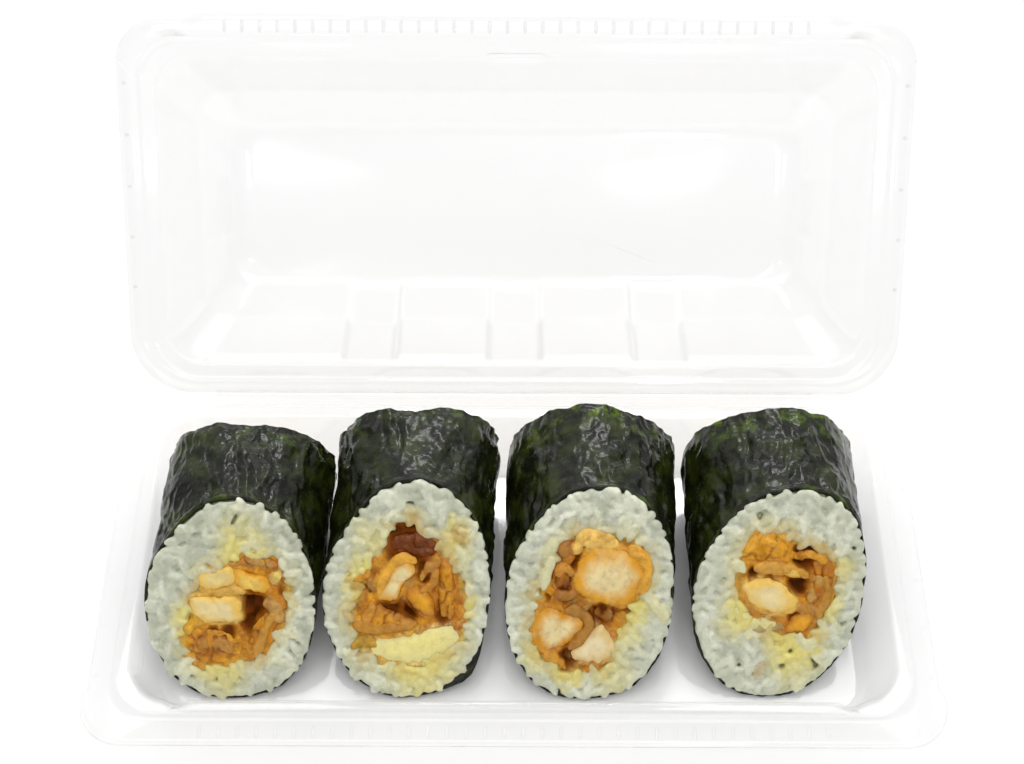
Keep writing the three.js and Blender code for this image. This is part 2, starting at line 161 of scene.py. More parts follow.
class Finish(Tree):
    """A material, whose patterns lie in the object's own millimetres."""

    def __init__(self, name):
        self.material = bpy.data.materials.new(name)
        self.material.use_nodes = True
        super().__init__(self.material.node_tree)
        place = self.node("ShaderNodeTexCoord", output="Object")
        self.place = self.node("ShaderNodeVectorMath", {"operation": "SCALE"}, {0: place, "Scale": 1 / MM})

    def grain(self, size, detail=3, stretch=(1, 1, 1), roughness=0.5):
        """Noise whose patches are about size across, drawn out where stretch is over 1."""
        shrink = tuple(1 / (size * s) for s in stretch)
        place = self.node("ShaderNodeVectorMath", {"operation": "MULTIPLY"}, {0: self.place, 1: shrink})
        sockets = {"Vector": place, "Scale": 1.0, "Detail": detail, "Roughness": roughness}
        return self.node("ShaderNodeTexNoise", None, sockets, output="Fac")

    def mark(self, name, output="Fac"):
        return self.node("ShaderNodeAttribute", {"attribute_name": name}, None, output)

    def blend(self, low, high, share):
        return self.node("ShaderNodeMix", {"data_type": "RGBA"}, {0: share, 6: low, 7: high}, output=2)

    def shade(self, colour, factor):
        """A colour made lighter or darker by a value near 1."""
        return self.node("ShaderNodeVectorMath", {"operation": "SCALE"}, {0: colour, "Scale": factor})

    def relief(self, height, depth, normal=None):
        sockets = {"Height": height, "Distance": depth * MM}
        if normal:
            sockets["Normal"] = normal
        return self.node("ShaderNodeBump", None, sockets)

    def surface(self, **sockets):
        named = {key.replace("_", " "): value for key, value in sockets.items()}
        return self.node("ShaderNodeBsdfPrincipled", None, named, output="BSDF")

    def join(self, under, over, share):
        return self.node("ShaderNodeMixShader", None, {0: share, 1: under, 2: over})

    def done(self, shader):
        self.node("ShaderNodeOutputMaterial", None, {"Surface": shader})
        return self.material


class Rule(Tree):
    """A geometry rule with named sizes, which runs once on a mesh."""

    KINDS = {float: "NodeSocketFloat", int: "NodeSocketInt"}

    def __init__(self, name, **sizes):
        super().__init__(bpy.data.node_groups.new(name, "GeometryNodeTree"))
        self.sizes = sizes
        self.tree.interface.new_socket("Geometry", in_out="OUTPUT", socket_type="NodeSocketGeometry")
        self.tree.interface.new_socket("Geometry", in_out="INPUT", socket_type="NodeSocketGeometry")
        for size, value in sizes.items():
            self.tree.interface.new_socket(size, in_out="INPUT", socket_type=self.KINDS[type(value)])
        self.given = self.tree.nodes.new("NodeGroupInput")

    def size(self, name):
        return Value(self, self.given.outputs[name])

    def vector(self, x, y, z):
        return self.node("ShaderNodeCombineXYZ", None, {0: x, 1: y, 2: z})

    def chance(self, low, high, stream):
        """A draw for each element, from its own stream of the rule's seed."""
        sockets = {2: low, 3: high, "Seed": self.size("seed") + stream}
        return self.node("FunctionNodeRandomValue", {"data_type": "FLOAT"}, sockets, output=1)

    def turned(self, rotation, x, z):
        """A rotation turned further about its own axes."""
        turn = self.node("FunctionNodeEulerToRotation", None, {0: self.vector(x, 0.0, z)})
        settings = {"rotation_space": "LOCAL"}
        return self.node("FunctionNodeRotateRotation", settings, {0: rotation, 1: turn})

    def done(self, geometry, material):
        whole = self.node("GeometryNodeRealizeInstances", None, {0: geometry})
        whole = self.node("GeometryNodeSetMaterial", None, {"Geometry": whole, "Material": material})
        self.node("NodeGroupOutput", None, {0: whole})

    def grow(self, mesh, **changed):
        """Runs the rule on a mesh and returns what it makes as a plain mesh."""
        carrier = bpy.data.objects.new("carrier", mesh)
        bpy.context.collection.objects.link(carrier)
        modifier = carrier.modifiers.new("rule", "NODES")
        modifier.node_group = self.tree
        values = {**self.sizes, **changed}
        for item in self.tree.interface.items_tree:
            if item.in_out == "INPUT" and item.name in values:
                modifier[item.identifier] = values[item.name]
        graph = bpy.context.evaluated_depsgraph_get()
        made = bpy.data.meshes.new_from_object(carrier.evaluated_get(graph))
        bpy.data.objects.remove(carrier)
        return made


# ---- meshes ----


def ease(values, low, high):
    """A smooth step from 0 at low to 1 at high; low may be the larger."""
    share = np.clip((np.asarray(values, float) - low) / (high - low), 0, 1)
    return share * share * (3 - 2 * share)


def window(values, middle, width, shoulder):
    """1 inside a stretch and 0 outside it, with a shoulder at each end."""
    return ease(np.abs(np.asarray(values, float) - middle), width / 2, width / 2 - shoulder)


def rough(points, size, octaves=2, stretch=(1, 1, 1)):
    """Smooth noise of about -1 to 1 on points, with patches of about the given size."""
    scaled = np.asarray(points, float).reshape(-1, 3) / (size * np.asarray(stretch, float))
    drawn = [noise.fractal(Vector(p), 1.0, 2.0, octaves) for p in scaled]
    return np.array(drawn).reshape(np.asarray(points).shape[:-1])


def rough_at(u, z, layer, size, octaves=2):
    """Noise of about -1 to 1 at places of a section, different in each layer."""
    return rough(np.stack([u, z, np.full(np.shape(u), float(layer))], -1), size, octaves)


def crumpled(points, size):
    """The height of crumpled sheet: slanting facets that meet in ridges and in folds."""
    scaled = np.asarray(points, float).reshape(-1, 3) / size
    bent = scaled + 0.35 * np.array([noise.noise_vector(Vector(p * 1.3)) for p in scaled])
    folds = [abs(noise.noise(Vector(p))) for p in bent]
    ridges = [abs(noise.noise(Vector(p + 31))) for p in bent * 1.3]
    return (np.array(folds) - np.array(ridges)).reshape(np.asarray(points).shape[:-1])


def loft(rings, looped=False, poles=True):
    """Points and faces through rings of equal count, closed by poles or joined end to start."""
    rings = np.asarray(rings, float)
    rows, count = rings.shape[:2]
    points = rings.reshape(-1, 3)
    bands = rows if looped else rows - 1
    low = (np.arange(bands)[:, None] * count + np.arange(count)[None, :]).ravel()
    low_next = (np.arange(bands)[:, None] * count + (np.arange(count) + 1)[None, :] % count).ravel()
    up = (low + count) % len(points)
    up_next = (low_next + count) % len(points)
    faces = [tuple(face) for face in np.stack([low, low_next, up_next, up], 1).tolist()]
    if poles and not looped:
        first, last = len(points), len(points) + 1
        points = np.vstack([points, rings[0].mean(0), rings[-1].mean(0)])
        start = (rows - 1) * count
        for i in range(count):
            j = (i + 1) % count
            faces.append((first, j, i))
            faces.append((last, start + i, start + j))
    return points, faces


def signed_volume(points, faces):
    total = 0.0
    for size in (3, 4):
        chosen = np.array([face for face in faces if len(face) == size])
        for k in range(1, size - 1 if len(chosen) else 1):
            a, b, c = (points[chosen[:, i]] for i in (0, k, k + 1))
            total += np.einsum("ij,ij->i", a, np.cross(b, c)).sum()
    return total


class Batch:
    """Closed shells that are gathered into one piece, with marks on their points."""

    def __init__(self):
        self.points = []
        self.faces = []
        self.marks = {}
        self.count = 0

    def add(self, points, faces, **marks):
        if signed_volume(points, faces) < 0:
            faces = [face[::-1] for face in faces]
        self.faces += [tuple(i + self.count for i in face) for face in faces]
        self.points.append(points)
        self.count += len(points)
        for name, values in marks.items():
            self.marks.setdefault(name, []).append(np.asarray(values, float))

    def mesh(self, name):
        mesh = bpy.data.meshes.new(name)
        mesh.from_pydata((np.vstack(self.points) * MM).tolist(), [], self.faces)
        for mark, parts in self.marks.items():
            values = np.concatenate(parts)
            colour = values.ndim == 2
            made = mesh.attributes.new(mark, "FLOAT_COLOR" if colour else "FLOAT", "POINT")
            made.data.foreach_set("color" if colour else "value", values.ravel())
        mesh.shade_smooth()
        return mesh


def place_piece(name, mesh, material, body, slot, replaces=()):
    """Puts a mesh in the scene as a piece of the object."""
    piece = bpy.data.objects.new(name, mesh)
    bpy.context.collection.objects.link(piece)
    mesh.materials.clear()
    mesh.materials.append(material)
    if replaces:
        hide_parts(*replaces)
    if body:
        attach(piece, body)
    return piece


def shell_piece(name, shell, material, body, slot, replaces=(), **marks):
    """A piece made of one closed shell, given as its points and faces."""
    batch = Batch()
    batch.add(*shell, **marks)
    return place_piece(name, batch.mesh(name), material, body, slot, replaces)


def points_of(mesh):
    flat = np.empty(len(mesh.vertices) * 3)
    mesh.vertices.foreach_get("co", flat)
    return flat.reshape(-1, 3) / MM


def mark_values(mesh, name):
    values = np.empty(len(mesh.vertices))
    mesh.attributes[name].data.foreach_get("value", values)
    return values


def set_mark(mesh, name, values):
    mesh.attributes.new(name, "FLOAT", "POINT").data.foreach_set("value", values)


def points_near(source, points, count):
    """For each point, the numbers of the source's nearest points."""
    tree = kdtree.KDTree(len(source))
    for i, place in enumerate(source):
        tree.insert(place, i)
    tree.balance()
    return np.array([[found[1] for found in tree.find_n(place, count)] for place in points])


def fused(mesh, pitch, smoothing):
    """Melts overlapping closed shells into one soft skin that keeps their marks."""
    source = points_of(mesh)
    carrier = bpy.data.objects.new("carrier", mesh)
    bpy.context.collection.objects.link(carrier)
    melt = carrier.modifiers.new("melt", "REMESH")
    melt.mode = "VOXEL"
    melt.voxel_size = pitch * MM
    melt.use_smooth_shade = True
    soften = carrier.modifiers.new("soften", "SMOOTH")
    soften.factor = 0.5
    soften.iterations = smoothing
    graph = bpy.context.evaluated_depsgraph_get()
    skin = bpy.data.meshes.new_from_object(carrier.evaluated_get(graph))
    bpy.data.objects.remove(carrier)
    near = points_near(source, points_of(skin), 3)
    fields = {"FLOAT": ("value", 1), "FLOAT_COLOR": ("color", 4)}
    for mark in mesh.attributes:
        if mark.domain != "POINT" or mark.data_type not in fields or mark.name.startswith("."):
            continue
        field, width = fields[mark.data_type]
        values = np.empty(len(source) * width)
        mark.data.foreach_get(field, values)
        kept = values.reshape(-1, width)[near].mean(1)
        made = skin.attributes.new(mark.name, mark.data_type, "POINT")
        made.data.foreach_set(field, kept.ravel())
    bpy.data.meshes.remove(mesh)
    return skin


def roughened(mesh, size, depth):
    """Makes a skin uneven, out and in along its own normals."""
    normals = np.empty(len(mesh.vertices) * 3)
    mesh.vertex_normals.foreach_get("vector", normals)
    points = points_of(mesh)
    moved = points + normals.reshape(-1, 3) * (depth * rough(points, size, 3))[:, None]
    mesh.vertices.foreach_set("co", (moved * MM).ravel())
    mesh.update()


# ---- finishes ----


def clear_sheet(name, clear):
    """Thin clear moulded sheet: see-through, with gloss and a little body where it is steep."""
    finish = Finish(name)
    facing = finish.node("ShaderNodeLayerWeight", None, {"Blend": 0.5}, output="Facing")
    through = finish.node("ShaderNodeBsdfTransparent", None, {"Color": (clear, clear, clear * 0.999, 1)})
    body = finish.surface(Base_Color=tone(238, 238, 237), Roughness=0.45)
    gloss = finish.surface(Base_Color=tone(250, 250, 250), Metallic=1.0, Roughness=0.06)
    sheet = finish.join(through, body, 0.006 + 0.18 * facing**3)
    return finish.done(finish.join(sheet, gloss, 0.036 + 0.75 * facing**5))


def seaweed():
    """Dark pressed seaweed, with fibres, a wet gloss, and a greener tint on its top near the ends as painted
    light shining through the thin sheet.
    """
    finish = Finish("seaweed")
    fine = finish.grain(0.7, 4)
    patch = finish.grain(6, 3)
    fibre = finish.grain(0.45, 2, stretch=(5, 1, 1)) * finish.grain(0.45, 2, stretch=(1, 1, 5))
    dark = finish.blend(tone(12, 15, 4), tone(42, 49, 14), patch.rise(0.4, 0.7))
    speckled = finish.blend(dark, tone(76, 82, 34), fine.rise(0.56, 0.78) * 0.4)
    patchy = finish.grain(5.5, 3).rise(0.46, 0.62) * (0.3 + finish.grain(1.6, 3).rise(0.35, 0.65))
    # painted light: greener where light is painted as shining through the wrap's top
    colour = finish.blend(speckled, tone(84, 108, 12), finish.mark("thin") * patchy)
    relief = finish.relief(fine + fibre * 1.5, 0.02)
    relief = finish.relief(finish.grain(2.8, 1), 0.3, relief)
    return finish.done(finish.surface(
        Base_Color=colour, Roughness=0.15 + 0.16 * fine, Normal=relief, Specular_IOR_Level=0.36))


def cooked_rice():
    """Sticky pale grains, a little see-through, stained where the filling has run, and darker in the hollows
    between grains as painted shade.
    """
    finish = Finish("cooked_rice")
    pale = finish.blend(tone(186, 190, 168), tone(238, 240, 220), finish.mark("shade"))
    yellow = finish.blend(pale, tone(236, 224, 136), finish.mark("yellow"))
    stained = finish.blend(yellow, tone(190, 144, 48), finish.mark("brown"))
    cloud = finish.grain(1.3, 2).rise(0.35, 0.7)
    colour = finish.shade(stained, 0.9 + 0.1 * cloud)
    # painted shade: darker and greyer where a point lies deep in the hollows between grains
    colour = finish.blend(colour, tone(110, 110, 76), finish.mark("hollow") * 0.8)
    relief = finish.relief(finish.grain(0.6, 2), 0.08)
    return finish.done(finish.surface(
        Base_Color=colour, Roughness=0.33, Normal=relief, Subsurface_Weight=0.75,
        Subsurface_Radius=(1.0, 0.95, 0.7), Subsurface_Scale=0.0014, Specular_IOR_Level=0.45))


def filling(name, gloss, mottle, fibre=0.0, wet=0.0):
    """A filling whose colour is on its points, mottled, and fibrous where it is cut meat, with painted shade
    in its hollows and painted light on its raised parts.
    """
    finish = Finish(name)
    tint = finish.mark("tint", "Color")
    blotch = finish.grain(2.2, 3).rise(0.3, 0.7)
    fleck = finish.grain(0.8, 3).rise(0.35, 0.7)
    colour = finish.shade(tint, (1.08 - mottle) + mottle * blotch + 0.6 * mottle * fleck)
    colour = finish.blend(colour, tone(150, 80, 14), finish.grain(1.7, 3).rise(0.5, 0.66) * (2 * mottle))
    # painted shade: darker browns in the hollows and in the pockets of dark sauce and painted shade
    colour = finish.blend(colour, tone(128, 62, 6), finish.mark("hollow").rise(0.0, 0.6) * 0.85)
    colour = finish.blend(colour, tone(62, 26, 3), finish.mark("hollow").rise(0.55, 1.0) * 0.9)
    # painted light: lighter and golden on raised parts
    colour = finish.blend(colour, tone(240, 190, 92), finish.mark("raised_light") * 0.3)
    lines = finish.grain(0.5, 3, stretch=(1, 4, 3))
    colour = finish.shade(colour, 1 - fibre * 0.5 + fibre * lines)
    relief = finish.relief(finish.grain(1.1, 2) + fibre * 2 * lines, 0.12)
    skin = finish.surface(
        Base_Color=colour, Roughness=gloss + 0.15 * blotch, Normal=relief, Coat_Weight=wet,
        Coat_Roughness=0.08, Subsurface_Weight=0.2, Subsurface_Radius=(1.0, 0.75, 0.4),
        Subsurface_Scale=0.001, Specular_IOR_Level=0.2)
    deep = finish.surface(Base_Color=colour, Roughness=0.6, Specular_IOR_Level=0.04)
    return finish.done(finish.join(skin, deep, finish.mark("hollow").rise(0.05, 0.7)))


def pale_floor():
    finish = Finish("pale_floor")
    colour = finish.blend(tone(250, 250, 250), tone(253, 253, 253), finish.grain(400, 2))
    return finish.done(finish.surface(Base_Color=colour, Roughness=0.9, Specular_IOR_Level=0.0))


# ---- tray and lid ----

CORNER_STEPS = 14
SIDE_STEPS = 60
STOPS_HALF = 75
STOP_PITCH = 1.0
END_STOPS = 10
CAP_SHARES = (0.04, 0.2, 0.4, 0.6, 0.78, 0.92)


def rounded(profile, radius, steps=4):
    """A profile whose corners are turned into short bends."""
    profile = [np.array(point, float) for point in profile]
    bent = [profile[0]]
    for before, corner, after in zip(profile, profile[1:], profile[2:]):
        back, ahead = before - corner, after - corner
        lengths = np.linalg.norm(back), np.linalg.norm(ahead)
        turn = math.pi - math.acos(np.clip(back @ ahead / (lengths[0] * lengths[1]), -1, 1))
        cut = min(radius * math.tan(turn / 2), 0.45 * lengths[0], 0.45 * lengths[1])
        start, end = corner + back / lengths[0] * cut, corner + ahead / lengths[1] * cut
        for t in np.linspace(0, 1, steps + 1):
            bent.append((1 - t) ** 2 * start + 2 * t * (1 - t) * corner + t * t * end)
    bent.append(profile[-1])
    return np.array(bent)


def offset(profile, by):
    """A profile's other face, a wall's thickness to the right of its run."""
    steps = np.diff(profile, axis=0)
    normals = np.stack([steps[:, 1], -steps[:, 0]], 1) / np.linalg.norm(steps, axis=1)[:, None]
    before = np.vstack([normals[:1], normals])
    after = np.vstack([normals, normals[-1:]])
    return profile + (before + after) * by / (1 + (before * after).sum(1))[:, None]


def reach(d, way):
    """How far a point of the profile stands from the mouth on one side of the box."""
    beyond = (d - STEP_END) * (FLANGE[way] - STEP_END) / (FLANGE["side"] - STEP_END)
    return STEP_END + beyond if d > STEP_END else d


def lid_reach(d, way):
    return d * LID_INSET[way] / LID_INSET["side"] if d < 0 else reach(d, way)


def level(d, way, share=1.0):
    """The outline of one level seen from above, drawn in to a share of its size for a flat."""
    side = CAVITY["side"] + way(d, "side")
    front = -CAVITY["front"] - way(d, "front")
    rear = CAVITY["rear"] + way(d, "rear")
    grown = np.clip(d / FLANGE["side"], 0, 1)

    def radius(end):
        return MOUTH_R + d * 0.3 if d < 0 else MOUTH_R + (FLANGE_R[end] - MOUTH_R) * grown

    def corner(x, y, r, start):
        turn = np.radians(start + np.linspace(0, 90, CORNER_STEPS + 1))
        centre = x - math.copysign(r, x), y - math.copysign(r, y)
        return np.stack([centre[0] + r * np.cos(turn), centre[1] + r * np.sin(turn)], 1)

    def across(y, r):
        end = side - r
        beyond = np.linspace(STOPS_HALF, end, END_STOPS + 1)[1:-1]
        middle = np.arange(-STOPS_HALF, STOPS_HALF + STOP_PITCH / 2, STOP_PITCH)
        x = np.concatenate([-beyond[::-1], middle, beyond])
        return np.stack([x, np.full(len(x), y)], 1)

    def along(x, low, high):
        y = np.linspace(low, high, SIDE_STEPS + 1)[1:-1]
        return np.stack([np.full(len(y), x), y], 1)

    fore, aft = radius("front"), radius("rear")
    outline = np.vstack([
        corner(side, front, fore, -90), along(side, front + fore, rear - aft),
        corner(side, rear, aft, 0), across(rear, aft)[::-1],
        corner(-side, rear, aft, 90), along(-side, front + fore, rear - aft)[::-1],
        corner(-side, front, fore, 180), across(front, fore),
    ])
    middle = np.array([0, (front + rear) / 2])
    return middle + (outline - middle) * share


def formed_sheet(profile, bend, way, shape, wall, crown):
    """A closed sheet of one thickness, made of levels out from its flat and back."""
    upper = rounded(profile, bend)
    lower = offset(upper, wall)[::-1]
    flats = [(share, *upper[0]) for share in CAP_SHARES]
    under = [(share, *lower[-1]) for share in CAP_SHARES[::-1]]
    steps = [*flats, *[(1.0, d, z) for d, z in upper], *[(1.0, d, z) for d, z in lower], *under]
    rings = []
    for share, d, z in steps:
        flat = level(d, way, share)
        rise = crown(flat[:, 0], flat[:, 1]) * (1 - share**4)
        ring = np.column_stack([flat, np.full(len(flat), z) + rise])
        rings.append(shape(ring, d))
    return loft(rings)


def tray_shell():
    outer = RIM_Z - STEP["drop"]
    edge = FLANGE["side"]
    profile = [
        (-8.3, SHEET), (-6.6, SHEET), (-4.9, 2.0), (-0.5, RIM_Z - 0.6), (0.2, RIM_Z),
        (LAND, RIM_Z), (STEP_END, outer), (edge - 0.7, outer), (edge, outer - 1.0),
    ]
    catch = {"at": 84.5, "width": 6.2, "out": 1.1, "shoulder": 1.8}

    def shape(ring, d):
        x, y, z = ring.T
        tab = TAB["out"] * ease(-y, TAB["from"], TAB["full"]) * ease(d, STEP_END + 0.5, STEP_END + 1.5)
        high = ease(z, RIM_Z - 5, RIM_Z - 3) * ease(d, 1.4, 0.3)
        notch = window(np.abs(x), catch["at"], catch["width"], catch["shoulder"]) * (y < 0)
        x = x + np.sign(x) * tab
        return np.stack([x, y - catch["out"] * notch * high, z], 1)

    def crown(x, y):
        return 0.12 + 0.1 * np.sin(x / 23 + 1) * np.sin(y / 17)

    return formed_sheet(profile, 1.4, reach, shape, SHEET, crown)


def lid_shell():
    """The lid's sheet as it lies when shut."""
    low = RIM_Z + LID_GAP
    top = RIM_Z + LID_RISE
    inset = LID_INSET["side"]
    profile = [
        (-inset, top), (-inset * 0.92, top - 1.6), (-inset * 0.5, top - 13.5),
        (-inset * 0.12, low + SNAP_TOP), (-inset * 0.06, low + SNAP_MIDDLE), (-0.1, low),
        (LAND + 0.2, low), (STEP_END + 0.2, low - STEP["drop"]), (FLANGE["side"], low - STEP["drop"]),
    ]
    lug = {"from": 12.7, "to": -3.5, "in": 0.5}

    def shape(ring, d):
        x, y, z = ring.T
        fluted = np.zeros(len(x))
        for i in range(FLUTE["count"]):
            middle = (i - (FLUTE["count"] - 1) / 2) * FLUTE["pitch"]
            fluted = fluted + window(x, middle, FLUTE["width"], FLUTE["shoulder"])
        fluted = fluted * (y > 0) * ease(z, low + 2.6, low + SNAP_TOP) * ease(z, top + 0.2, top - 1.2)
        snapped = window(x, 0, SNAP["width"], SNAP["shoulder"]) * (y < 0)
        snapped = snapped * window(z, low + SNAP_MIDDLE, 3.2, 1.2)
        cornered = ease(d, STEP_END + 0.5, STEP_END + 1.5) * (y < -41)
        back = LID_EDGE_BACK["by"] * ease(np.abs(x), LID_EDGE_BACK["from"], LID_EDGE_BACK["full"])
        middle = (lug["from"] + lug["to"]) / 2
        dented = window(y, middle, lug["from"] - lug["to"], 0.8) * window(z, top - 3.4, 5.0, 1.4)
        dented = dented * (np.abs(x) > CAVITY["side"] - inset - 1)
        x = x - np.sign(x) * lug["in"] * dented
        y = y + FLUTE["out"] * fluted - SNAP["out"] * snapped + back * cornered
        return np.stack([x, y, z], 1)

    def crown(x, y):
        return -0.5 * np.sin(x / 31 + 0.6) * np.cos(y / 24)

    return formed_sheet(profile, 1.8, lid_reach, shape, -SHEET, crown)


def opened(points):
    """Turns points of the shut lid about the hinge to where the lid stands."""
    turned = np.array(Matrix.Rotation(-OPEN_TURN, 3, "X"))
    return (points - HINGE) @ turned.T + HINGE


FOLD_REACH = 0.9  # how far from the axis the fold follows one half or the other
FOLD = {"start": -math.pi + 0.12, "end": 0.69, "steps": 14, "radii": (0.72, 0.4), "half": 84.0, "count": 96}


def hinge_fold():
    """The living hinge: one thin fold round the axis, from the tray's edge to the lid's."""
    turns = np.linspace(FOLD["start"], FOLD["end"], FOLD["steps"])
    arcs = [HINGE[1:] + r * np.stack([np.cos(turns), np.sin(turns)], 1) for r in FOLD["radii"]]
    section = np.vstack([arcs[0], arcs[1][::-1]])
    x = np.linspace(-FOLD["half"], FOLD["half"], FOLD["count"])
    return loft([np.column_stack([np.full(len(section), at), section]) for at in x])


RIBS = {"pitch": 4.65, "length": 3.6, "width": 1.1, "height": 0.22}
DOTS = {**RIBS, "pitch": 14, "length": 1.1, "width": 1.1}
BARS = {**RIBS, "pitch": 3.4, "length": 4.2}
RIB_SUNK = 0.05  # how deep a rib's middle lies in the sheet, which keeps the shut halves apart
RIB_ROWS = {
    "front": 3.4, "side": 2.0, "half": 78, "dots": (-34, 22), "corner": ((95.9, -46.3), (99.7, -49.2)),
}


def rib_rule(material):
    """Small rounded bars at an even pitch along a path, lying across it."""
    rule = Rule("ribs", **{name: float(value) for name, value in RIBS.items()})
    path = rule.node("GeometryNodeMeshToCurve", None, {0: Value(rule, rule.given.outputs["Geometry"])})
    sockets = {"Curve": path, "Length": rule.size("pitch")}
    spaced = rule.node("GeometryNodeResampleCurve", {"mode": "LENGTH"}, sockets)
    bar = rule.node("GeometryNodeMeshUVSphere", None, {"Segments": 10, "Rings": 8, "Radius": 0.5})
    size = rule.vector(rule.size("width"), rule.size("length"), rule.size("height") * 2)
    bar = rule.node("GeometryNodeTransform", None, {"Geometry": bar, "Scale": size})
    tangent = rule.node("GeometryNodeInputTangent")
    across = rule.node("FunctionNodeAlignRotationToVector", {"axis": "X"}, {"Vector": tangent})
    sockets = {"Points": spaced, "Instance": bar, "Rotation": across}
    bars = rule.node("GeometryNodeInstanceOnPoints", None, sockets)
    rule.done(bars, material)
    return rule


def path_mesh(name, runs):
    """Open polylines as one mesh of edges."""
    points, edges = [], []
    for run in runs:
        start = len(points)
        points += [(x * MM, y * MM, z * MM) for x, y, z in run]
        edges += [(start + i, start + i + 1) for i in range(len(run) - 1)]
    mesh = bpy.data.meshes.new(name)
    mesh.from_pydata(points, edges, [])
    return mesh


def make_ribs(body, z, material):
    """Ribs along a flange's front edge and dots along its sides, and bars at the tray's corners."""
    rule = rib_rule(material)
    front = -DEPTH / 2 + RIB_ROWS["front"]
    side = CAVITY["side"] + FLANGE["side"] - RIB_ROWS["side"]
    half, (low, high) = RIB_ROWS["half"], RIB_ROWS["dots"]
    rows = [
        ([[(-half, front, z), (half, front, z)]], RIBS),
        ([[(s * side, low, z), (s * side, high, z)] for s in (-1, 1)], DOTS),
    ]
    if body == "tray":
        start, end = RIB_ROWS["corner"]
        rows.append(([[(s * start[0], start[1], z), (s * end[0], end[1], z)] for s in (-1, 1)], BARS))
    batch = Batch()
    for runs, sizes in rows:
        mesh = rule.grow(path_mesh("edge", runs), **{size: value * MM for size, value in sizes.items()})
        points = points_of(mesh)
        faces = [tuple(face.vertices) for face in mesh.polygons]
        batch.add(points if body == "tray" else opened(points), faces)
        bpy.data.meshes.remove(mesh)
    name = f"{body}_ribs"
    place_piece(name, batch.mesh(name), material, body, "clear_plastic")


def make_box(material, lid_material):
    shell_piece("tray_sheet", tray_shell(), material, "tray", "clear_plastic", ["tray"])
    points, faces = lid_shell()
    lid = shell_piece("lid_sheet", (opened(points), faces), lid_material, "lid", "clear_plastic", ["lid"])
    lid.visible_shadow = False  # clear sheet passes nearly all light
    bent = shell_piece("hinge_fold", hinge_fold(), material, None, "clear_plastic")
    middle = Vector(HINGE * MM)
    reach_out = Vector((0, FOLD_REACH * MM, 0))
    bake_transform(bent, "tray", "lid", start=middle - reach_out, end=middle + reach_out)
    flange = RIM_Z - STEP["drop"]
    make_ribs("tray", flange - RIB_SUNK, material)
    make_ribs("lid", flange + LID_GAP + RIB_SUNK, lid_material)


# ---- rolls ----

# green: how strongly the painted light through the top of each roll's wrap shows
ROLLS = [
    {
        "x": -72, "tip": -32.4, "cut": 40, "back_x": -70, "back": 26.9, "flap": 0, "green": 0.6,
        "cut_radii": [20.9, 21.9, 21.9, 21.3, 23.5, 23.4, 21, 21.7],
        "back_radii": [22.4, 21.8, 20.2, 23.2, 23.4, 22.7, 21, 22],
        "core": (-1, 20.2),
        "mouth": [14.3, 15.7, 15.9, 12.6, 10.3, 9.7, 10, 10.5, 10.4, 13.3, 15.3,
                  13.7, 12, 11.7, 12.6, 13.4],
    },
    {
        "x": -27.5, "tip": -32.2, "cut": 43.7, "back_x": -25.5, "back": 31.8, "flap": 2, "green": 0.3,
        "cut_radii": [21.5, 22.9, 22.1, 20.3, 22.4, 22.2, 21, 21.4],
        "back_radii": [21.5, 23.4, 20.6, 23.6, 21.6, 22, 21, 22],
        "core": (-0.6, 21),
        "mouth": [16, 15.2, 13.5, 13.6, 15.4, 12.7, 10, 11.2, 13.2, 15.3, 15.8,
                  14.2, 13.8, 13.6, 15.1, 16.5],
    },
    {
        "x": 20, "tip": -32.3, "cut": 42.5, "back_x": 21, "back": 32.4, "flap": 0, "green": 1.0,
        "cut_radii": [21.4, 23.2, 22, 21, 22.5, 23.2, 20.9, 21.8],
        "back_radii": [23.2, 21.3, 22, 21.6, 23.2, 22.8, 21, 22.4],
        "core": (-1.2, 21),
        "mouth": [13.1, 17.2, 17.2, 14.2, 13.6, 12.8, 12.4, 12.4, 12.7, 15.4, 15.8,
                  15.1, 13.9, 14.1, 11.3, 11],
    },
    {
        "x": 68.8, "tip": -31.5, "cut": 41.6, "back_x": 68.5, "back": 31.8, "flap": 0, "green": 1.0,
        "cut_radii": [21.7, 24.6, 21.7, 20.8, 22.9, 23.3, 21, 20.4],
        "back_radii": [23.3, 22.3, 22, 21.7, 23.1, 22.8, 21, 21.8],
        "core": (0.4, 23.6),
        "mouth": [13.6, 14.6, 11.9, 10.5, 11.4, 13, 13.8, 12.5, 12.3, 10.8, 9.7,
                  9.7, 9.9, 11.1, 12.8, 12.4],
    },
]

CREAM = tone(232, 213, 158)
PALE = tone(228, 204, 136)
HONEY = tone(236, 196, 96)
AMBER = tone(226, 162, 38)
GOLD = tone(212, 148, 34)
COPPER = tone(190, 122, 32)
TAN = tone(184, 142, 76)
UMBER = tone(112, 54, 14)
MAYO = tone(238, 226, 146)
MAYO_DULL = tone(226, 216, 150)

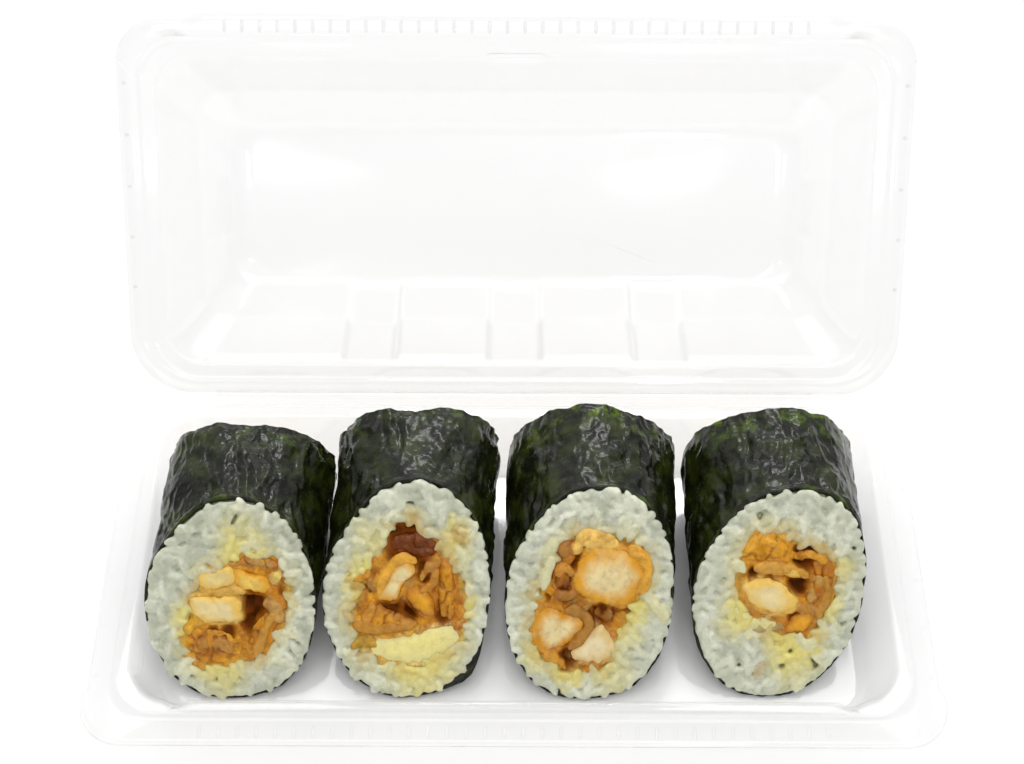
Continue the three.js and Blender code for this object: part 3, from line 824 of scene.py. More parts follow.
# Each filling: name, finish, how proud of the cut, how flat, colours at its middle and rim,
# and its outline on the cut face, as places across from the roll's axis and heights.
FILLINGS = [
    [
        ("chicken_1a", "chicken", 1.6, 7, CREAM, HONEY,
         [(-11, 23.3), (-6, 23.7), (-2, 23.5), (1.8, 23), (2.2, 20.5), (1.6, 18.2), (-5, 17.7),
          (-9.5, 18.4), (-11.5, 21)]),
        ("glazed_1b", "glazed", 1.1, 4, HONEY, AMBER,
         [(0, 29.4), (5, 28.2), (9.2, 27), (9, 24), (5, 24.2), (1.2, 25.2), (-0.4, 27.2)]),
        ("chicken_1c", "chicken", 0.9, 5, PALE, HONEY,
         [(-9.5, 26.5), (-8.4, 28.4), (-5, 29.3), (0, 29.6), (0.9, 26.8), (-2, 25.2), (-8, 24.8)]),
        ("brown_1d", "brown", 0.8, 2, TAN, COPPER,
         [(-1, 30.2), (2, 31.6), (6, 32), (11, 31), (13, 29), (10.5, 28.6), (5, 29.8), (1, 29.8)]),
        ("brown_1e", "brown", 1.0, 2.5, COPPER, AMBER,
         [(-14.5, 14), (-13.5, 10.5), (-8, 7.9), (-2, 8.7), (1.5, 10.4), (1.8, 14), (-2, 16.2),
          (-8, 17), (-12.4, 17.2)]),
        ("brown_1f", "brown", 0.9, 2.5, COPPER, GOLD,
         [(2.2, 10.2), (6, 10.4), (9.6, 11.8), (10.4, 15.6), (13, 19), (9, 20.8), (5.6, 18.2),
          (2.8, 14.6)]),
    ],
    [
        ("mayo_2a", "mayo", 0.9, 1.6, MAYO, MAYO_DULL,
         [(-13, 12.4), (-6, 13.4), (0, 14), (8, 16), (14.2, 16.6), (14.6, 13), (10, 9.8), (0, 8.2),
          (-8, 8.8)]),
        ("brown_2b", "brown", 0.9, 2.5, UMBER, UMBER,
         [(-5, 33), (-1, 34), (4, 34), (7.2, 33), (9, 30.4), (3.4, 28.8), (-2, 29.6), (-5, 31)]),
        ("glazed_2c", "glazed", 1.4, 3.5, CREAM, AMBER,
         [(-8.2, 21), (-6.6, 24.6), (-3.4, 28), (0.4, 29.2), (2.8, 27.6), (1.4, 25.4), (-1.2, 24),
          (-2.4, 21.2), (-5, 20.4)]),
        ("glazed_2d", "glazed", 1.2, 3, AMBER, COPPER,
         [(-0.6, 23.4), (3, 23.8), (6.4, 21.4), (7.4, 18.2), (4.6, 17.6), (1.6, 19.4), (-0.8, 21.4)]),
        ("brown_2e", "brown", 1.0, 3, GOLD, COPPER,
         [(8.4, 28.6), (11.4, 29), (12.2, 24), (12, 17.6), (8.6, 17), (7.8, 22)]),
        ("brown_2f", "brown", 0.9, 2.5, GOLD, COPPER,
         [(-14.4, 15.2), (-12, 17.6), (-8.6, 20.4), (-4.6, 19), (-1, 18), (2, 16.2), (-4, 15),
          (-10, 14.4)]),
    ],
    [
        ("glazed_3a", "glazed", 1.8, 6, CREAM, AMBER,
         [(-5, 24), (-4.6, 27.4), (-2.5, 30.5), (1, 33), (7, 32.6), (12, 30.6), (13.8, 27),
          (11.8, 22.8), (8, 20.6), (2, 21), (-2.5, 22.4)]),
        ("glazed_3b", "glazed", 1.4, 5, CREAM, GOLD,
         [(-15, 18), (-12, 20.5), (-8, 19.4), (-3, 18.6), (-1.4, 16.4), (-4, 14), (-8, 11.8),
          (-13, 11.4), (-15.6, 14)]),
        ("chicken_3c", "chicken", 1.1, 4, tone(232, 216, 172), tone(224, 192, 126),
         [(2.6, 17.2), (5, 15.6), (6.8, 11), (3, 9), (-4, 9.3), (-6, 11), (-2.2, 13.6), (0, 16)]),
        ("brown_3d", "brown", 0.9, 2.2, COPPER, UMBER,
         [(-5, 32.6), (-3, 34.6), (-3.2, 31), (-5.4, 28), (-5.6, 24), (-8, 22.4), (-10, 23),
          (-9.4, 27), (-8, 31)]),
    ],
    [
        ("chicken_4a", "chicken", 1.8, 5, CREAM, HONEY,
         [(-10, 24.5), (-6, 26.6), (-1, 26), (3, 23.6), (5, 21), (2, 19.1), (-3, 19.1), (-8, 21)]),
        ("brown_4b", "brown", 1.1, 3, GOLD, AMBER,
         [(-12, 31), (-9, 33.6), (-5, 35.8), (0, 34.6), (2, 33), (1.4, 30.8), (-4, 29.6), (-10, 29.4)]),
        ("glazed_4c", "glazed", 1.0, 3, HONEY, GOLD,
         [(-8, 29.4), (0, 29.2), (5, 28.6), (7.6, 27.4), (6.8, 26), (0, 26.6), (-4, 27.4)]),
        ("brown_4d", "brown", 0.9, 2.5, COPPER, COPPER,
         [(8, 30), (11, 30.6), (14, 28.8), (13.4, 24), (11, 18.4), (8.6, 18), (7.4, 21.4),
          (8.2, 24.6), (8.6, 27.4)]),
        ("glazed_4e", "glazed", 0.9, 3, AMBER, COPPER,
         [(0.8, 15.4), (3.6, 18.2), (7.4, 19.6), (9.6, 17.8), (7.6, 15.6), (4, 14.6)]),
        ("mayo_4f", "mayo", 0.7, 1.8, MAYO_DULL, MAYO_DULL,
         [(-12.6, 20.6), (-9.4, 19.6), (-4, 18), (0, 16.8), (1, 15), (-4, 14.8), (-9, 16.2), (-12, 18.4)]),
    ],
]

# Strips that lie over the filling of each roll: width, how proud, colour, and a path.
STRIPS = [
    [
        (3.2, 1.0, tone(178, 124, 56), [(-11, 12), (-7, 13.8), (-3, 13.4), (-1, 11.6)]),
        (2.6, 1.2, tone(184, 130, 44), [(4.6, 10.8), (6.4, 13.6), (8, 17), (9.8, 19.8)]),
        (2.4, 0.9, tone(206, 156, 44), [(-13, 15.4), (-11, 17.6), (-8, 18.2)]),
        (2.8, 0.9, TAN, [(7.4, 22.4), (10, 21), (12, 18)]),
        (2.6, 0.9, tone(210, 182, 98), [(9.8, 26.4), (11.2, 27.8), (12.4, 27.4)]),
        (1.8, 0.9, tone(212, 170, 80), [(-9, 25.2), (-4, 24.2), (0, 24.8), (3, 24.3)]),
    ],
    [
        (2.4, 1.5, AMBER, [(-7.6, 22), (-5.4, 26), (-1.6, 29), (2.6, 28.6)]),
        (2.6, 1.2, tone(176, 118, 40), [(3.4, 25), (5.6, 27.4), (8.6, 29.2)]),
        (2.2, 1.0, COPPER, [(3.2, 22.4), (6, 24), (8, 27)]),
        (2.2, 1.0, tone(184, 126, 40), [(-14.4, 16), (-9.6, 15.4), (-4, 15.6), (2.6, 16.6)]),
        (3.0, 1.2, COPPER, [(-11.4, 16.6), (-9.6, 18.6), (-8.8, 20.6)]),
        (2.8, 1.1, tone(182, 122, 48), [(-4.4, 15.8), (-2.6, 17.4), (-0.6, 16.2)]),
        (2.0, 0.8, tone(184, 146, 44), [(-15, 11.6), (-11.6, 12.8), (-8, 12)]),
        (1.8, 1.0, tone(186, 128, 38), [(-9, 23.6), (-6.4, 26.4), (-4.6, 28.4)]),
        (1.6, 0.7, GOLD, [(-16, 25), (-12, 25.2), (-9.4, 26.4)]),
    ],
    [
        (3.2, 1.5, tone(236, 196, 104), [(-4.4, 31), (-2.4, 34), (2, 33.6), (7, 33)]),
        (3.0, 1.6, tone(222, 160, 44), [(9, 32.2), (13, 30.4), (14.4, 27), (12.6, 23)]),
        (2.6, 1.2, tone(146, 84, 26), [(-8, 30.6), (-6.2, 32.4), (-4.4, 31)]),
        (2.4, 1.2, COPPER, [(-9.4, 26.6), (-6.8, 28.4), (-5, 26.8)]),
        (2.2, 1.1, tone(150, 90, 30), [(-9.6, 23.4), (-6.6, 22.4), (-4, 23.2)]),
        (2.4, 1.3, tone(148, 92, 28), [(-7, 19.8), (-3.4, 19.4), (-0.6, 17.2), (-2.2, 14.4), (-6, 12)]),
        (2.0, 0.9, GOLD, [(-12.4, 10.4), (-8.4, 9.6), (-6.4, 7.8)]),
        (2.2, 0.9, UMBER, [(1, 19.8), (3.4, 18.6), (5.4, 19.6)]),
    ],
    [
        (2.2, 1.1, AMBER, [(-10, 31.6), (-6, 33.6), (-1, 33)]),
        (2.6, 1.2, tone(204, 148, 54), [(-7.4, 28.4), (-1, 28.2), (4, 27.6), (7, 26.8)]),
        (2.4, 1.0, TAN, [(7, 21.6), (9.4, 23.6), (9.6, 27)]),
        (2.0, 1.0, GOLD, [(3, 30.4), (7.6, 31), (11.6, 29.4)]),
        (2.4, 1.0, tone(176, 122, 38), [(11.4, 27), (12, 22.6), (9.6, 18)]),
        (1.0, 0.6, tone(180, 162, 100), [(-7, 15.6), (-3, 15.4), (0.6, 16.4)]),
    ],
]

# Pale shreds and loose grains near the filling: width, how proud, and a path.
SHREDS = [
    [(2.0, 0.8, [(2.6, 33), (5, 34.4), (7, 33.6)])],
    [(2.0, 0.7, [(13, 31), (14.6, 29), (14.4, 26.4)])],
    [(2.4, 1.2, [(-10, 30.4), (-11.4, 27), (-12.6, 23.6)]), (2.6, 1.3, [(13.2, 24), (16, 21), (20, 18)]),
     (2.2, 0.9, [(-12.6, 30.6), (-10.8, 32), (-9, 33)])],
    [(2.2, 0.9, [(-12.4, 29.6), (-10.6, 28.6), (-9.2, 27.4)]), (2.0, 0.9, [(5, 15), (6.6, 13),
     (9.6, 12.4)])],
]

# Stains on the rice: kind, across, height, radius, strength.
STAINS = [
    [("yellow", 2, 34, 8, 0.75), ("yellow", -13, 18, 5, 0.7), ("yellow", -4, 6.5, 7, 0.5),
     ("yellow", 12, 24, 4, 0.4)],
    [("yellow", -12, 25, 6, 0.9), ("yellow", -10, 33, 5, 0.5), ("brown", 13.2, 33.1, 2.8, 0.75),
     ("yellow", 13, 33, 5, 0.8),
     ("yellow", 4, 7, 12, 0.65), ("yellow", 15, 20, 3.5, 0.7), ("brown", -13.2, 24.2, 2.6, 0.7)],
    [("yellow", -6, 7.5, 5, 0.9), ("brown", -7, 8, 2.2, 0.7), ("yellow", 9, 16, 6, 0.55),
     ("yellow", 6, 6.5, 7, 0.4),
     ("yellow", -15, 10, 4, 0.5), ("yellow", 14, 24, 3, 0.6), ("yellow", 11, 20, 5, 0.85)],
    [("yellow", 4, 11, 9, 0.85), ("yellow", -11, 18, 6, 0.75), ("brown", 8, 13.6, 2, 0.5),
     ("brown", -4.4, 6.5, 0.8, 1),
     ("yellow", 13, 20, 4, 0.6), ("yellow", 16.7, 28.3, 3, 0.5)],
]

# Pockets of dark sauce and painted shade between the pieces: across, height, radius.
SAUCE_AND_SHADE_POCKETS = [
    [(5.3, 21.6, 3.9), (3.8, 17.9, 2.7), (-1.9, 15.9, 2.1), (-5.9, 15.9, 1.6)],
    [(0.4, 31.2, 5.8), (-2.4, 33.1, 2.8), (-4.6, 18.7, 3.6), (0.6, 19.1, 2.3), (9.2, 18.7, 2.6),
     (4.3, 27.2, 2.7), (0.3, 37.6, 1.2)],
    [(-5.6, 29.8, 2.7), (-7.1, 23.7, 1.9), (3.3, 19.6, 3.2), (-0.9, 17.2, 2.2), (-5.8, 10.6, 2.9),
     (-2.1, 23.8, 1.4)],
    [(6.1, 30.4, 3.1), (4, 25.6, 2.9), (-3.4, 26.5, 2), (3.8, 18.5, 1.8), (-7.3, 26.5, 1.4)],
]


def dark_at(roll, u, z):
    """1 in the middle of each pocket of dark sauce and painted shade, and 0 away from them."""
    dark = np.zeros(np.shape(u))
    for x, height, radius in SAUCE_AND_SHADE_POCKETS[roll.number - 1]:
        dark = np.maximum(dark, ease(np.hypot(u - x, z - height), radius * 1.4, radius * 0.4))
    return dark


def radius_at(radii, turn):
    """A closed smooth curve through radii spread evenly round a turn."""
    radii = np.asarray(radii, float)
    count = len(radii)
    place = (turn % 1) * count
    i = np.floor(place).astype(int)
    a, b, c, d = (radii[(i + k) % count] for k in (-1, 0, 1, 2))
    t = place - i
    return b + 0.5 * t * (c - a + t * (2 * a - 5 * b + 4 * c - d + t * (3 * (b - c) + d - a)))


class Roll:
    """One roll's form: its outline, its cut, and where a point of it lies."""

    def __init__(self, number, spec):
        self.number = number
        self.spec = spec
        self.slope = math.tan(math.radians(spec["cut"]))
        lean = math.hypot(1, self.slope)
        self.normal = np.array([0, -1 / lean, self.slope / lean])

    def cut_y(self, z):
        return self.spec["tip"] + self.slope * (z - TIP_Z)

    def place(self, u, z, share, ahead=0.0):
        """A point of the section, at share 0 on the back end and 1 on the cut, moved ahead."""
        u, z, share, ahead = np.broadcast_arrays(*(np.asarray(a, float) for a in (u, z, share, ahead)))
        turn = np.arctan2(z - ROLL_Z, u) / TAU
        grown = radius_at(self.spec["back_radii"], turn) / radius_at(self.spec["cut_radii"], turn)
        end = np.full(u.shape, self.spec["back"])
        back = np.stack([self.spec["back_x"] + u * grown, end, ROLL_Z + (z - ROLL_Z) * grown], -1)
        cut = np.stack([self.spec["x"] + u, self.cut_y(z), z], -1)
        point = back + (cut - back) * share[..., None]
        point[..., 1] -= ahead
        return point

    def face(self, u, z, height=0.0):
        """A point over the cut face, height out from it."""
        return self.place(u, z, 1.0) + np.multiply.outer(np.asarray(height, float), self.normal)

    def back_face(self, u, z, height=0.0):
        """A point over the back end, height out from it."""
        return self.place(u, z, 0.0, -np.asarray(height, float))

    def end(self, front):
        """The function that places points over the cut face or over the back end."""
        return self.face if front else self.back_face

    def outward(self, front):
        return self.normal if front else np.array([0.0, 1.0, 0.0])

    def rim(self, turn, inset=0.0):
        radius = radius_at(self.spec["cut_radii"], turn) - inset
        return radius * np.cos(turn * TAU), ROLL_Z + radius * np.sin(turn * TAU)

    def core(self, turn, grow=0.0):
        """The filling's outline where it shows, round its own middle."""
        x, z = self.spec["core"]
        c, s = np.cos(turn * TAU), np.sin(turn * TAU)
        uneven = rough_at(c * 3, s * 3, 5 * self.number, 1.4)
        radius = radius_at(self.spec["mouth"], turn) + grow + 0.7 * uneven
        return x + radius * c, z + radius * s


def smooth_path(points, count, closed):
    """Evenly spread points of a smooth curve through a few given ones."""
    points = np.array(points, float)
    total = len(points)
    if closed:
        padded = np.vstack([points[-1], points, points[:2]])
        spans = total
    else:
        padded = np.vstack([2 * points[0] - points[1], points, 2 * points[-1] - points[-2]])
        spans = total - 1
    dense = []
    for i in range(spans):
        a, b, c, d = padded[i:i + 4]
        t = np.linspace(0, 1, 16, endpoint=False)[:, None]
        dense.append(b + 0.5 * t * (c - a + t * (2 * a - 5 * b + 4 * c - d + t * (3 * (b - c) + d - a))))
    dense = np.vstack([*dense, points[:1] if closed else points[-1:]])
    run = np.concatenate([[0], np.cumsum(np.linalg.norm(np.diff(dense, axis=0), axis=1))])
    at = np.linspace(0, run[-1], count, endpoint=not closed)
    return np.stack([np.interp(at, run, dense[:, k]) for k in range(dense.shape[1])], 1)


NORI_AROUND = 340
NORI_ALONG = 140
CREASE = {"large": 6.5, "large_rise": 1.4, "small": 3.0, "small_rise": 0.6, "sway": 12.0}
CREASE_LOW = -1.0
CREASE_HIGH = 0.42
TORN = {"fine": 2.6, "coarse": 9.0}  # the sizes of the tears in the wrap's edges
LOWEST = 0.75  # food lies this high over the table, on the tray's floor


def wrap_edges(roll, turn):
    """How far the wrap's torn edge wanders, at the cut and at the back end."""
    c, s = np.cos(turn * TAU), np.sin(turn * TAU)
    round_it = np.stack([c * ROLL_R, np.full(len(turn), 7.0 * roll.number), s * ROLL_R], 1)
    fine = rough(round_it, TORN["fine"])
    return 0.35 * fine, 0.3 * fine + 1.1 * rough(round_it + 60, TORN["coarse"])


def nori_shell(roll):
    """The wrap: a thin crumpled tube, with its front edge a little behind the rice."""
    turn = np.arange(NORI_AROUND) / NORI_AROUND
    spec = roll.spec
    flap = spec["flap"] * np.clip(1 - np.abs(turn - FLAP_TURN) * 16, 0, 1)
    cut_edge, back_edge = wrap_edges(roll, turn)
    u, z = roll.rim(turn)
    grown = 1 + flap / np.hypot(u, z - ROLL_Z)
    u, z = u * grown, ROLL_Z + (z - ROLL_Z) * grown

    def ring(across, high, share):
        ahead = -(NORI_BACK + cut_edge) * ease(share, 0.9, 1.0) + back_edge * ease(share, 0.15, 0.0)
        return roll.place(across, high, share, ahead)

    along = np.linspace(0, 1, NORI_ALONG)
    rings = np.array([ring(u, z, share) for share in along])
    # painted light: a greener tint on the wrap's top near its ends, as light shining through the thin sheet,
    # as strong as the roll's green
    top = ease(np.sin(turn * TAU), 0.1, 0.8) * spec["green"]
    near_edge = ease(along, 0.96, 1.0) * 0.6 + ease(along, 0.36, 0.0) * 0.9
    painted_through_light = np.outer(near_edge, top)
    at = rings + np.array([0, 40.0 * roll.number, 0])
    patchy = 0.3 + 0.7 * ease(rough(at + 9, 12.0), -0.25, 0.3)
    drawn = at * np.array([1.0, 0.6, 1.0])
    large = crumpled(drawn, CREASE["large"]) * CREASE["large_rise"]
    small = crumpled(drawn + 5, CREASE["small"]) * CREASE["small_rise"]
    sway = rough(at, CREASE["sway"]) * 0.6
    rise = np.clip((large + small) * patchy + sway - 0.3, CREASE_LOW, CREASE_HIGH)
    rise = rise * (0.35 + 0.65 * ease(along, 1.0, 0.93))[:, None]
    rise = rise - (0.7 * np.abs(rough(at + 30, 8.0)) * ease(along, 0.12, 0.0)[:, None])
    axis = np.array([
        [spec["back_x"] + (spec["x"] - spec["back_x"]) * share, 0, ROLL_Z] for share in along
    ])
    outward = rings - axis[:, None, :]
    outward[..., 1] = 0
    outward /= np.linalg.norm(outward, axis=2)[..., None]
    outer = rings + outward * rise[..., None]
    outer[..., 2] = np.maximum(outer[..., 2], LOWEST)
    inner_u, inner_z = roll.rim(turn, NORI + 0.25)
    inner = [ring(inner_u, inner_z, share) for share in (1.0, 0.97, 0.75, 0.5, 0.25, 0.03, 0.0)]
    points, faces = loft(np.concatenate([outer, np.array(inner)]), looped=True)
    return points, faces, np.concatenate([painted_through_light.ravel(), np.zeros(len(inner) * NORI_AROUND)])


def stain_at(roll, kind, u, z):
    total = np.zeros(np.shape(u))
    for name, x, height, radius, strength in STAINS[roll.number - 1]:
        if name == kind:
            away = np.hypot(u - x, z - height)
            total = np.maximum(total, strength * ease(away, radius * 1.15, radius * 0.3))
    return total


RICE_AROUND = 240
RICE_SHARES = np.array([0.0, 0.03, *np.linspace(0.08, 0.94, 16), 0.985, 1.0])
CRUST = {"cut": 0.62, "back": 0.9, "thick": 2.6, "inset": 0.5}


def rice_marks(roll, u, z, near_core):
    """Shade and stains of the rice at points of the section."""
    uneven = rough_at(u, z, 3 * roll.number, 4.0)
    halo = ease(near_core + 2.4 * uneven, 4.4, -0.4)
    yellow = stain_at(roll, "yellow", u, z)
    return {
        "shade": np.full(np.shape(u), 0.35),
        "yellow": np.clip(yellow * (1 + 0.5 * uneven) + 0.48 * halo, 0, 1),
        "brown": np.clip(stain_at(roll, "brown", u, z) + 0.6 * halo**5 * (1 - 0.9 * yellow), 0, 1),
    }


def end_grid(roll, shares, inset=0.1):
    """Section points between the rim, at share 0, and the filling, at share 1."""
    turn = np.arange(RICE_AROUND) / RICE_AROUND
    rim_u, rim_z = roll.rim(turn, NORI + inset)
    core_u, core_z = roll.core(turn)
    shares = np.asarray(shares)[:, None]
    u = rim_u + (core_u - rim_u) * shares
    z = rim_z + (core_z - rim_z) * shares
    gap = np.hypot(core_u - u, core_z - z)
    return u, z, gap


BODY_SUNK = 2.2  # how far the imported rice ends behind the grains


def rice_shell(roll):
    """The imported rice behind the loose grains, round the filling from end to end."""
    u, z, gap = end_grid(roll, (0.0, 0.35, 0.7, 1.0), CRUST["inset"])
    rim_u, rim_z, core_u, core_z = u[0], z[0], u[-1], z[-1]
    front = roll.place(u, z, 1.0, RICE_PROUD - BODY_SUNK)
    back = roll.place(u, z, 0.0, BODY_SUNK)
    sides = [roll.place(rim_u, rim_z, share) for share in (0.25, 0.5, 0.75)]
    bore = [roll.place(core_u, core_z, share) for share in (0.75, 0.5, 0.25)]
    rings = np.array([*sides, *front, *bore, *back[::-1]])
    points, faces = loft(rings, looped=True)
    plain = np.full(len(points), 0.3)
    # the rice seen between the grains gets a steady painted shade through its mark
    return points, faces, {"shade": plain, "yellow": plain, "brown": plain * 0, "hollow": plain}


def rice_crust(roll, front):
    """The last few millimetres of rice at one end, which the grains are pressed into."""
    outward = roll.outward(front)
    u, z, gap = end_grid(roll, RICE_SHARES, 0.1 if front else 1.0)
    under_u, under_z, _ = end_grid(roll, RICE_SHARES, CRUST["inset"] + 0.1 if front else 1.0)
    if front:
        depth = (CRUST["cut"] - 0.35 * ease(RICE_SHARES, 0.2, 0.0))[:, None] / roll.normal[2]
        outer = roll.place(u, z, 1.0, RICE_PROUD - depth)
        inner = roll.place(under_u, under_z, 1.0, RICE_PROUD - depth) - CRUST["thick"] * outward
    else:
        outer = roll.place(u, z, 0.0, CRUST["back"])
        inner = outer - CRUST["thick"] * outward
    bumps = rough(outer, 1.9, 3) * 0.26 - 1.3 * ease(rough(outer + 50, 2.6), 0.24, 0.45)
    outer = outer + bumps[..., None] * outward
    both = [np.concatenate([part, part[::-1]]).ravel() for part in (u, z, gap)]
    points, faces = loft(np.array([*outer, *inner[::-1]]), looped=True)
    return points, faces, rice_marks(roll, *both)


GRAIN = {"length": 5.5, "width": 3.1, "depth": 2.5, "bend": 0.25, "spacing": 2.15, "tilt": 0.3}
GRAIN_SEGMENTS = 8
GRAIN_RINGS = 7
GRAIN_POINTS = GRAIN_SEGMENTS * (GRAIN_RINGS - 1) + 2


def grain_rule(material):
    """Rice grains strewn over a surface, each turned, tilted and sized by its own draw."""
    lengths = {name: value * MM for name, value in GRAIN.items() if name != "tilt"}
    rule = Rule("grains", **lengths, tilt=GRAIN["tilt"], seed=1)
    ball = rule.node("GeometryNodeMeshUVSphere", None, {
        "Segments": GRAIN_SEGMENTS, "Rings": GRAIN_RINGS, "Radius": 0.5})
    size = rule.vector(rule.size("width"), rule.size("depth"), rule.size("length"))
    grain = rule.node("GeometryNodeTransform", None, {"Geometry": ball, "Scale": size})
    spot = rule.node("GeometryNodeInputPosition")
    split = rule.node("ShaderNodeSeparateXYZ", None, {0: spot}, output="Z")
    along = split.math("DIVIDE", split, rule.size("length"))
    taper = 1 - 0.22 * (along + 0.5) ** 2
    bend = rule.size("bend") * 4 * along * along
    shaped = rule.vector(split.also("X") * taper, split.also("Y") * taper - bend, split)
    grain = rule.node("GeometryNodeSetPosition", None, {"Geometry": grain, "Position": shaped})
    settings = {"distribute_method": "POISSON"}
    sockets = {
        "Mesh": Value(rule, rule.given.outputs["Geometry"]), "Distance Min": rule.size("spacing"),
        "Density Max": 2e6, "Seed": rule.size("seed"),
    }
    spots = rule.node("GeometryNodeDistributePointsOnFaces", settings, sockets)
    shade = rule.chance(0.0, 1.0, 7)
    sockets = {"Geometry": spots, "Name": "shade", "Value": shade}
    shaded = rule.node("GeometryNodeStoreNamedAttribute", {"data_type": "FLOAT", "domain": "POINT"}, sockets)
    tilt = rule.size("tilt") * rule.chance(-1.0, 1.0, 1) + math.pi / 2
    spun = rule.turned(spots.also("Rotation"), 0.0, rule.chance(0.0, TAU, 2))
    laid = rule.turned(rule.turned(spun, tilt, 0.0), 0.0, rule.chance(0.0, TAU, 3))
    scale = rule.vector(rule.chance(0.88, 1.14, 4), rule.chance(0.9, 1.1, 5), rule.chance(0.72, 1.1, 6))
    grains = rule.node("GeometryNodeInstanceOnPoints", None, {
        "Points": shaded, "Instance": grain, "Rotation": laid, "Scale": scale})
    rule.done(grains, material)
    return rule


def strewn_face(roll, front):
    """The surface that grains are strewn over at one end of a roll."""
    shares = np.linspace(0, 1, 9)
    u, z, gap = end_grid(roll, 0.04 + shares * 0.98)
    grid = roll.place(u, z, 1.0, RICE_PROUD - 1.0) if front else roll.place(u, z, 0.0, 0.9)
    rows, count = u.shape
    faces = []
    for r in range(rows - 1):
        for i in range(count):
            j = (i + 1) % count
            quad = (r * count + i, r * count + j, (r + 1) * count + j, (r + 1) * count + i)
            faces.append(quad if front else quad[::-1])
    mesh = bpy.data.meshes.new("strewn")
    mesh.from_pydata((grid.reshape(-1, 3) * MM).tolist(), [], faces)
    marks = rice_marks(roll, u.ravel(), z.ravel(), gap.ravel())
    for mark in ("yellow", "brown"):
        set_mark(mesh, mark, marks[mark])
    return mesh


def pressed(roll, points, front):
    """Flattens grains where the knife has cut them, each at a height of its own."""
    base = roll.place(0, ROLL_Z, float(front), RICE_PROUD if front else 0.0)
    normal = roll.outward(front)
    height = (points - base) @ normal
    grains = len(points) // GRAIN_POINTS
    ceiling = np.random.default_rng(roll.number * 2 + front).uniform(0.06, 0.7, grains) ** 1.1
    ceiling = np.repeat(ceiling, GRAIN_POINTS)
    flat = np.where(height > 0, ceiling * np.tanh(height / ceiling), height)
    return points + (flat - height)[:, None] * normal


BACK_CLEAR = 2.2  # how far grains at the back end keep from the wrap's outside


def keep_in_wrap(roll, points):
    """Draws points in towards the axis where they would stand through the wrap or far outside it."""
    spec = roll.spec
    x, y, z = points.T
    share = (y - spec["back"]) / (roll.cut_y(z) - spec["back"])
    centre = spec["back_x"] + (spec["x"] - spec["back_x"]) * share
    turn = np.arctan2(z - ROLL_Z, x - centre) / TAU
    held = np.clip(share, 0, 1)
    limit = radius_at(spec["back_radii"], turn) * (1 - held) + radius_at(spec["cut_radii"], turn) * held
    ahead = np.where(share > 0.5, roll.cut_y(z) - y, y - spec["back"])
    limit = limit + np.where(ahead > -NORI_BACK, -0.1, 0.0)
    limit = limit - (NORI + 0.4) * ease(ahead, -NORI_BACK + 0.3, -NORI_BACK - 0.5)
    limit = limit - np.where(share < 0.5, BACK_CLEAR, 0.0)
    radius = np.hypot(x - centre, z - ROLL_Z)
    drawn = np.minimum(1, limit / np.maximum(radius, 0.01))
    moved = np.stack([centre + (x - centre) * drawn, y, ROLL_Z + (z - ROLL_Z) * drawn], 1)
    moved[:, 2] = np.maximum(moved[:, 2], LOWEST)
    return moved


RING_SHARES = np.array([1, 0.985, 0.96, 0.92, 0.87, 0.81, 0.74, 0.66, 0.57, 0.48, 0.39, 0.3, 0.2, 0.12, 0.05])


def stained(low, high, share):
    """Colours from low to high, by a share for each point."""
    share = np.clip(share, 0, 1)[..., None]
    return np.asarray(low) * (1 - share) + np.asarray(high) * share


def drawn_in(edge, middle, shares):
    """Rings from an edge in towards its middle, as their places across and heights."""
    rings = middle + (edge - middle) * shares[:, None, None]
    return rings[..., 0], rings[..., 1]


FILLING_AROUND = 72
SUNK = 0.9  # how far the rim of a filling lies behind the cut


def filling_shell(roll, kind, outline, proud, flat, inner, rim):
    """A filling from end to end of the roll, standing rounded and uneven out of the cut."""
    loop = smooth_path(outline, FILLING_AROUND, closed=True)
    middle = loop.mean(0)
    ragged = 1.0 if kind == "mayo" else 0.6
    wobble = rough_at(*loop.T, 3.1 * proud, 2.0) * ragged
    outward = (loop - middle) / np.linalg.norm(loop - middle, axis=1)[:, None]
    loop = loop + outward * wobble[:, None]
    u, z = drawn_in(loop, middle, RING_SHARES)
    dome = (1 - RING_SHARES**flat) ** 0.45
    seed = np.stack([u, z, np.full(u.shape, 5.0 * roll.number)], -1)
    lumps = rough(seed, 3.2, 2) * 0.6
    folded = 0.8 if kind == "brown" else 0.0
    folds = 1 - np.minimum(1, np.abs(rough(seed + 8, 4.2, 2)) * 3.4)
    lumps = lumps - folded * folds**2
    height = -SUNK + (proud + SUNK) * dome[:, None] + lumps * dome[:, None]
    front = roll.face(u, z, height)
    back_height = 0.6 * dome[:, None] + 0.5 * lumps * dome[:, None]
    back = roll.place(u, z, 0.0, 0.3 - back_height)
    sides = [roll.place(loop[:, 0], loop[:, 1], share) for share in (0.3, 0.6)]
    order = [*back[::-1], *sides, *front]
    tint = stained(inner, rim, ease(RING_SHARES, 0.3, 0.95)[:, None] + 0.5 * rough_at(u, z, 0, 4.0))
    # darker rim, as sauce at the edge with painted shade where the piece meets its neighbours, and painted
    # shade in the folds
    edged = 0.0 if kind == "mayo" else 0.4
    dark = ease(RING_SHARES, 0.93, 1.0)[:, None] * edged + folded * 0.9 * folds**3
    tint = stained(tint, UMBER, dark)
    rows = [tint[::-1].reshape(-1, 4), np.tile(np.array(rim, float), (2 * FILLING_AROUND, 1))]
    colours = np.vstack([*rows, tint.reshape(-1, 4), tint[-1, :1], tint[-1, :1]])
    points, faces = loft(order)
    return points, faces, colours


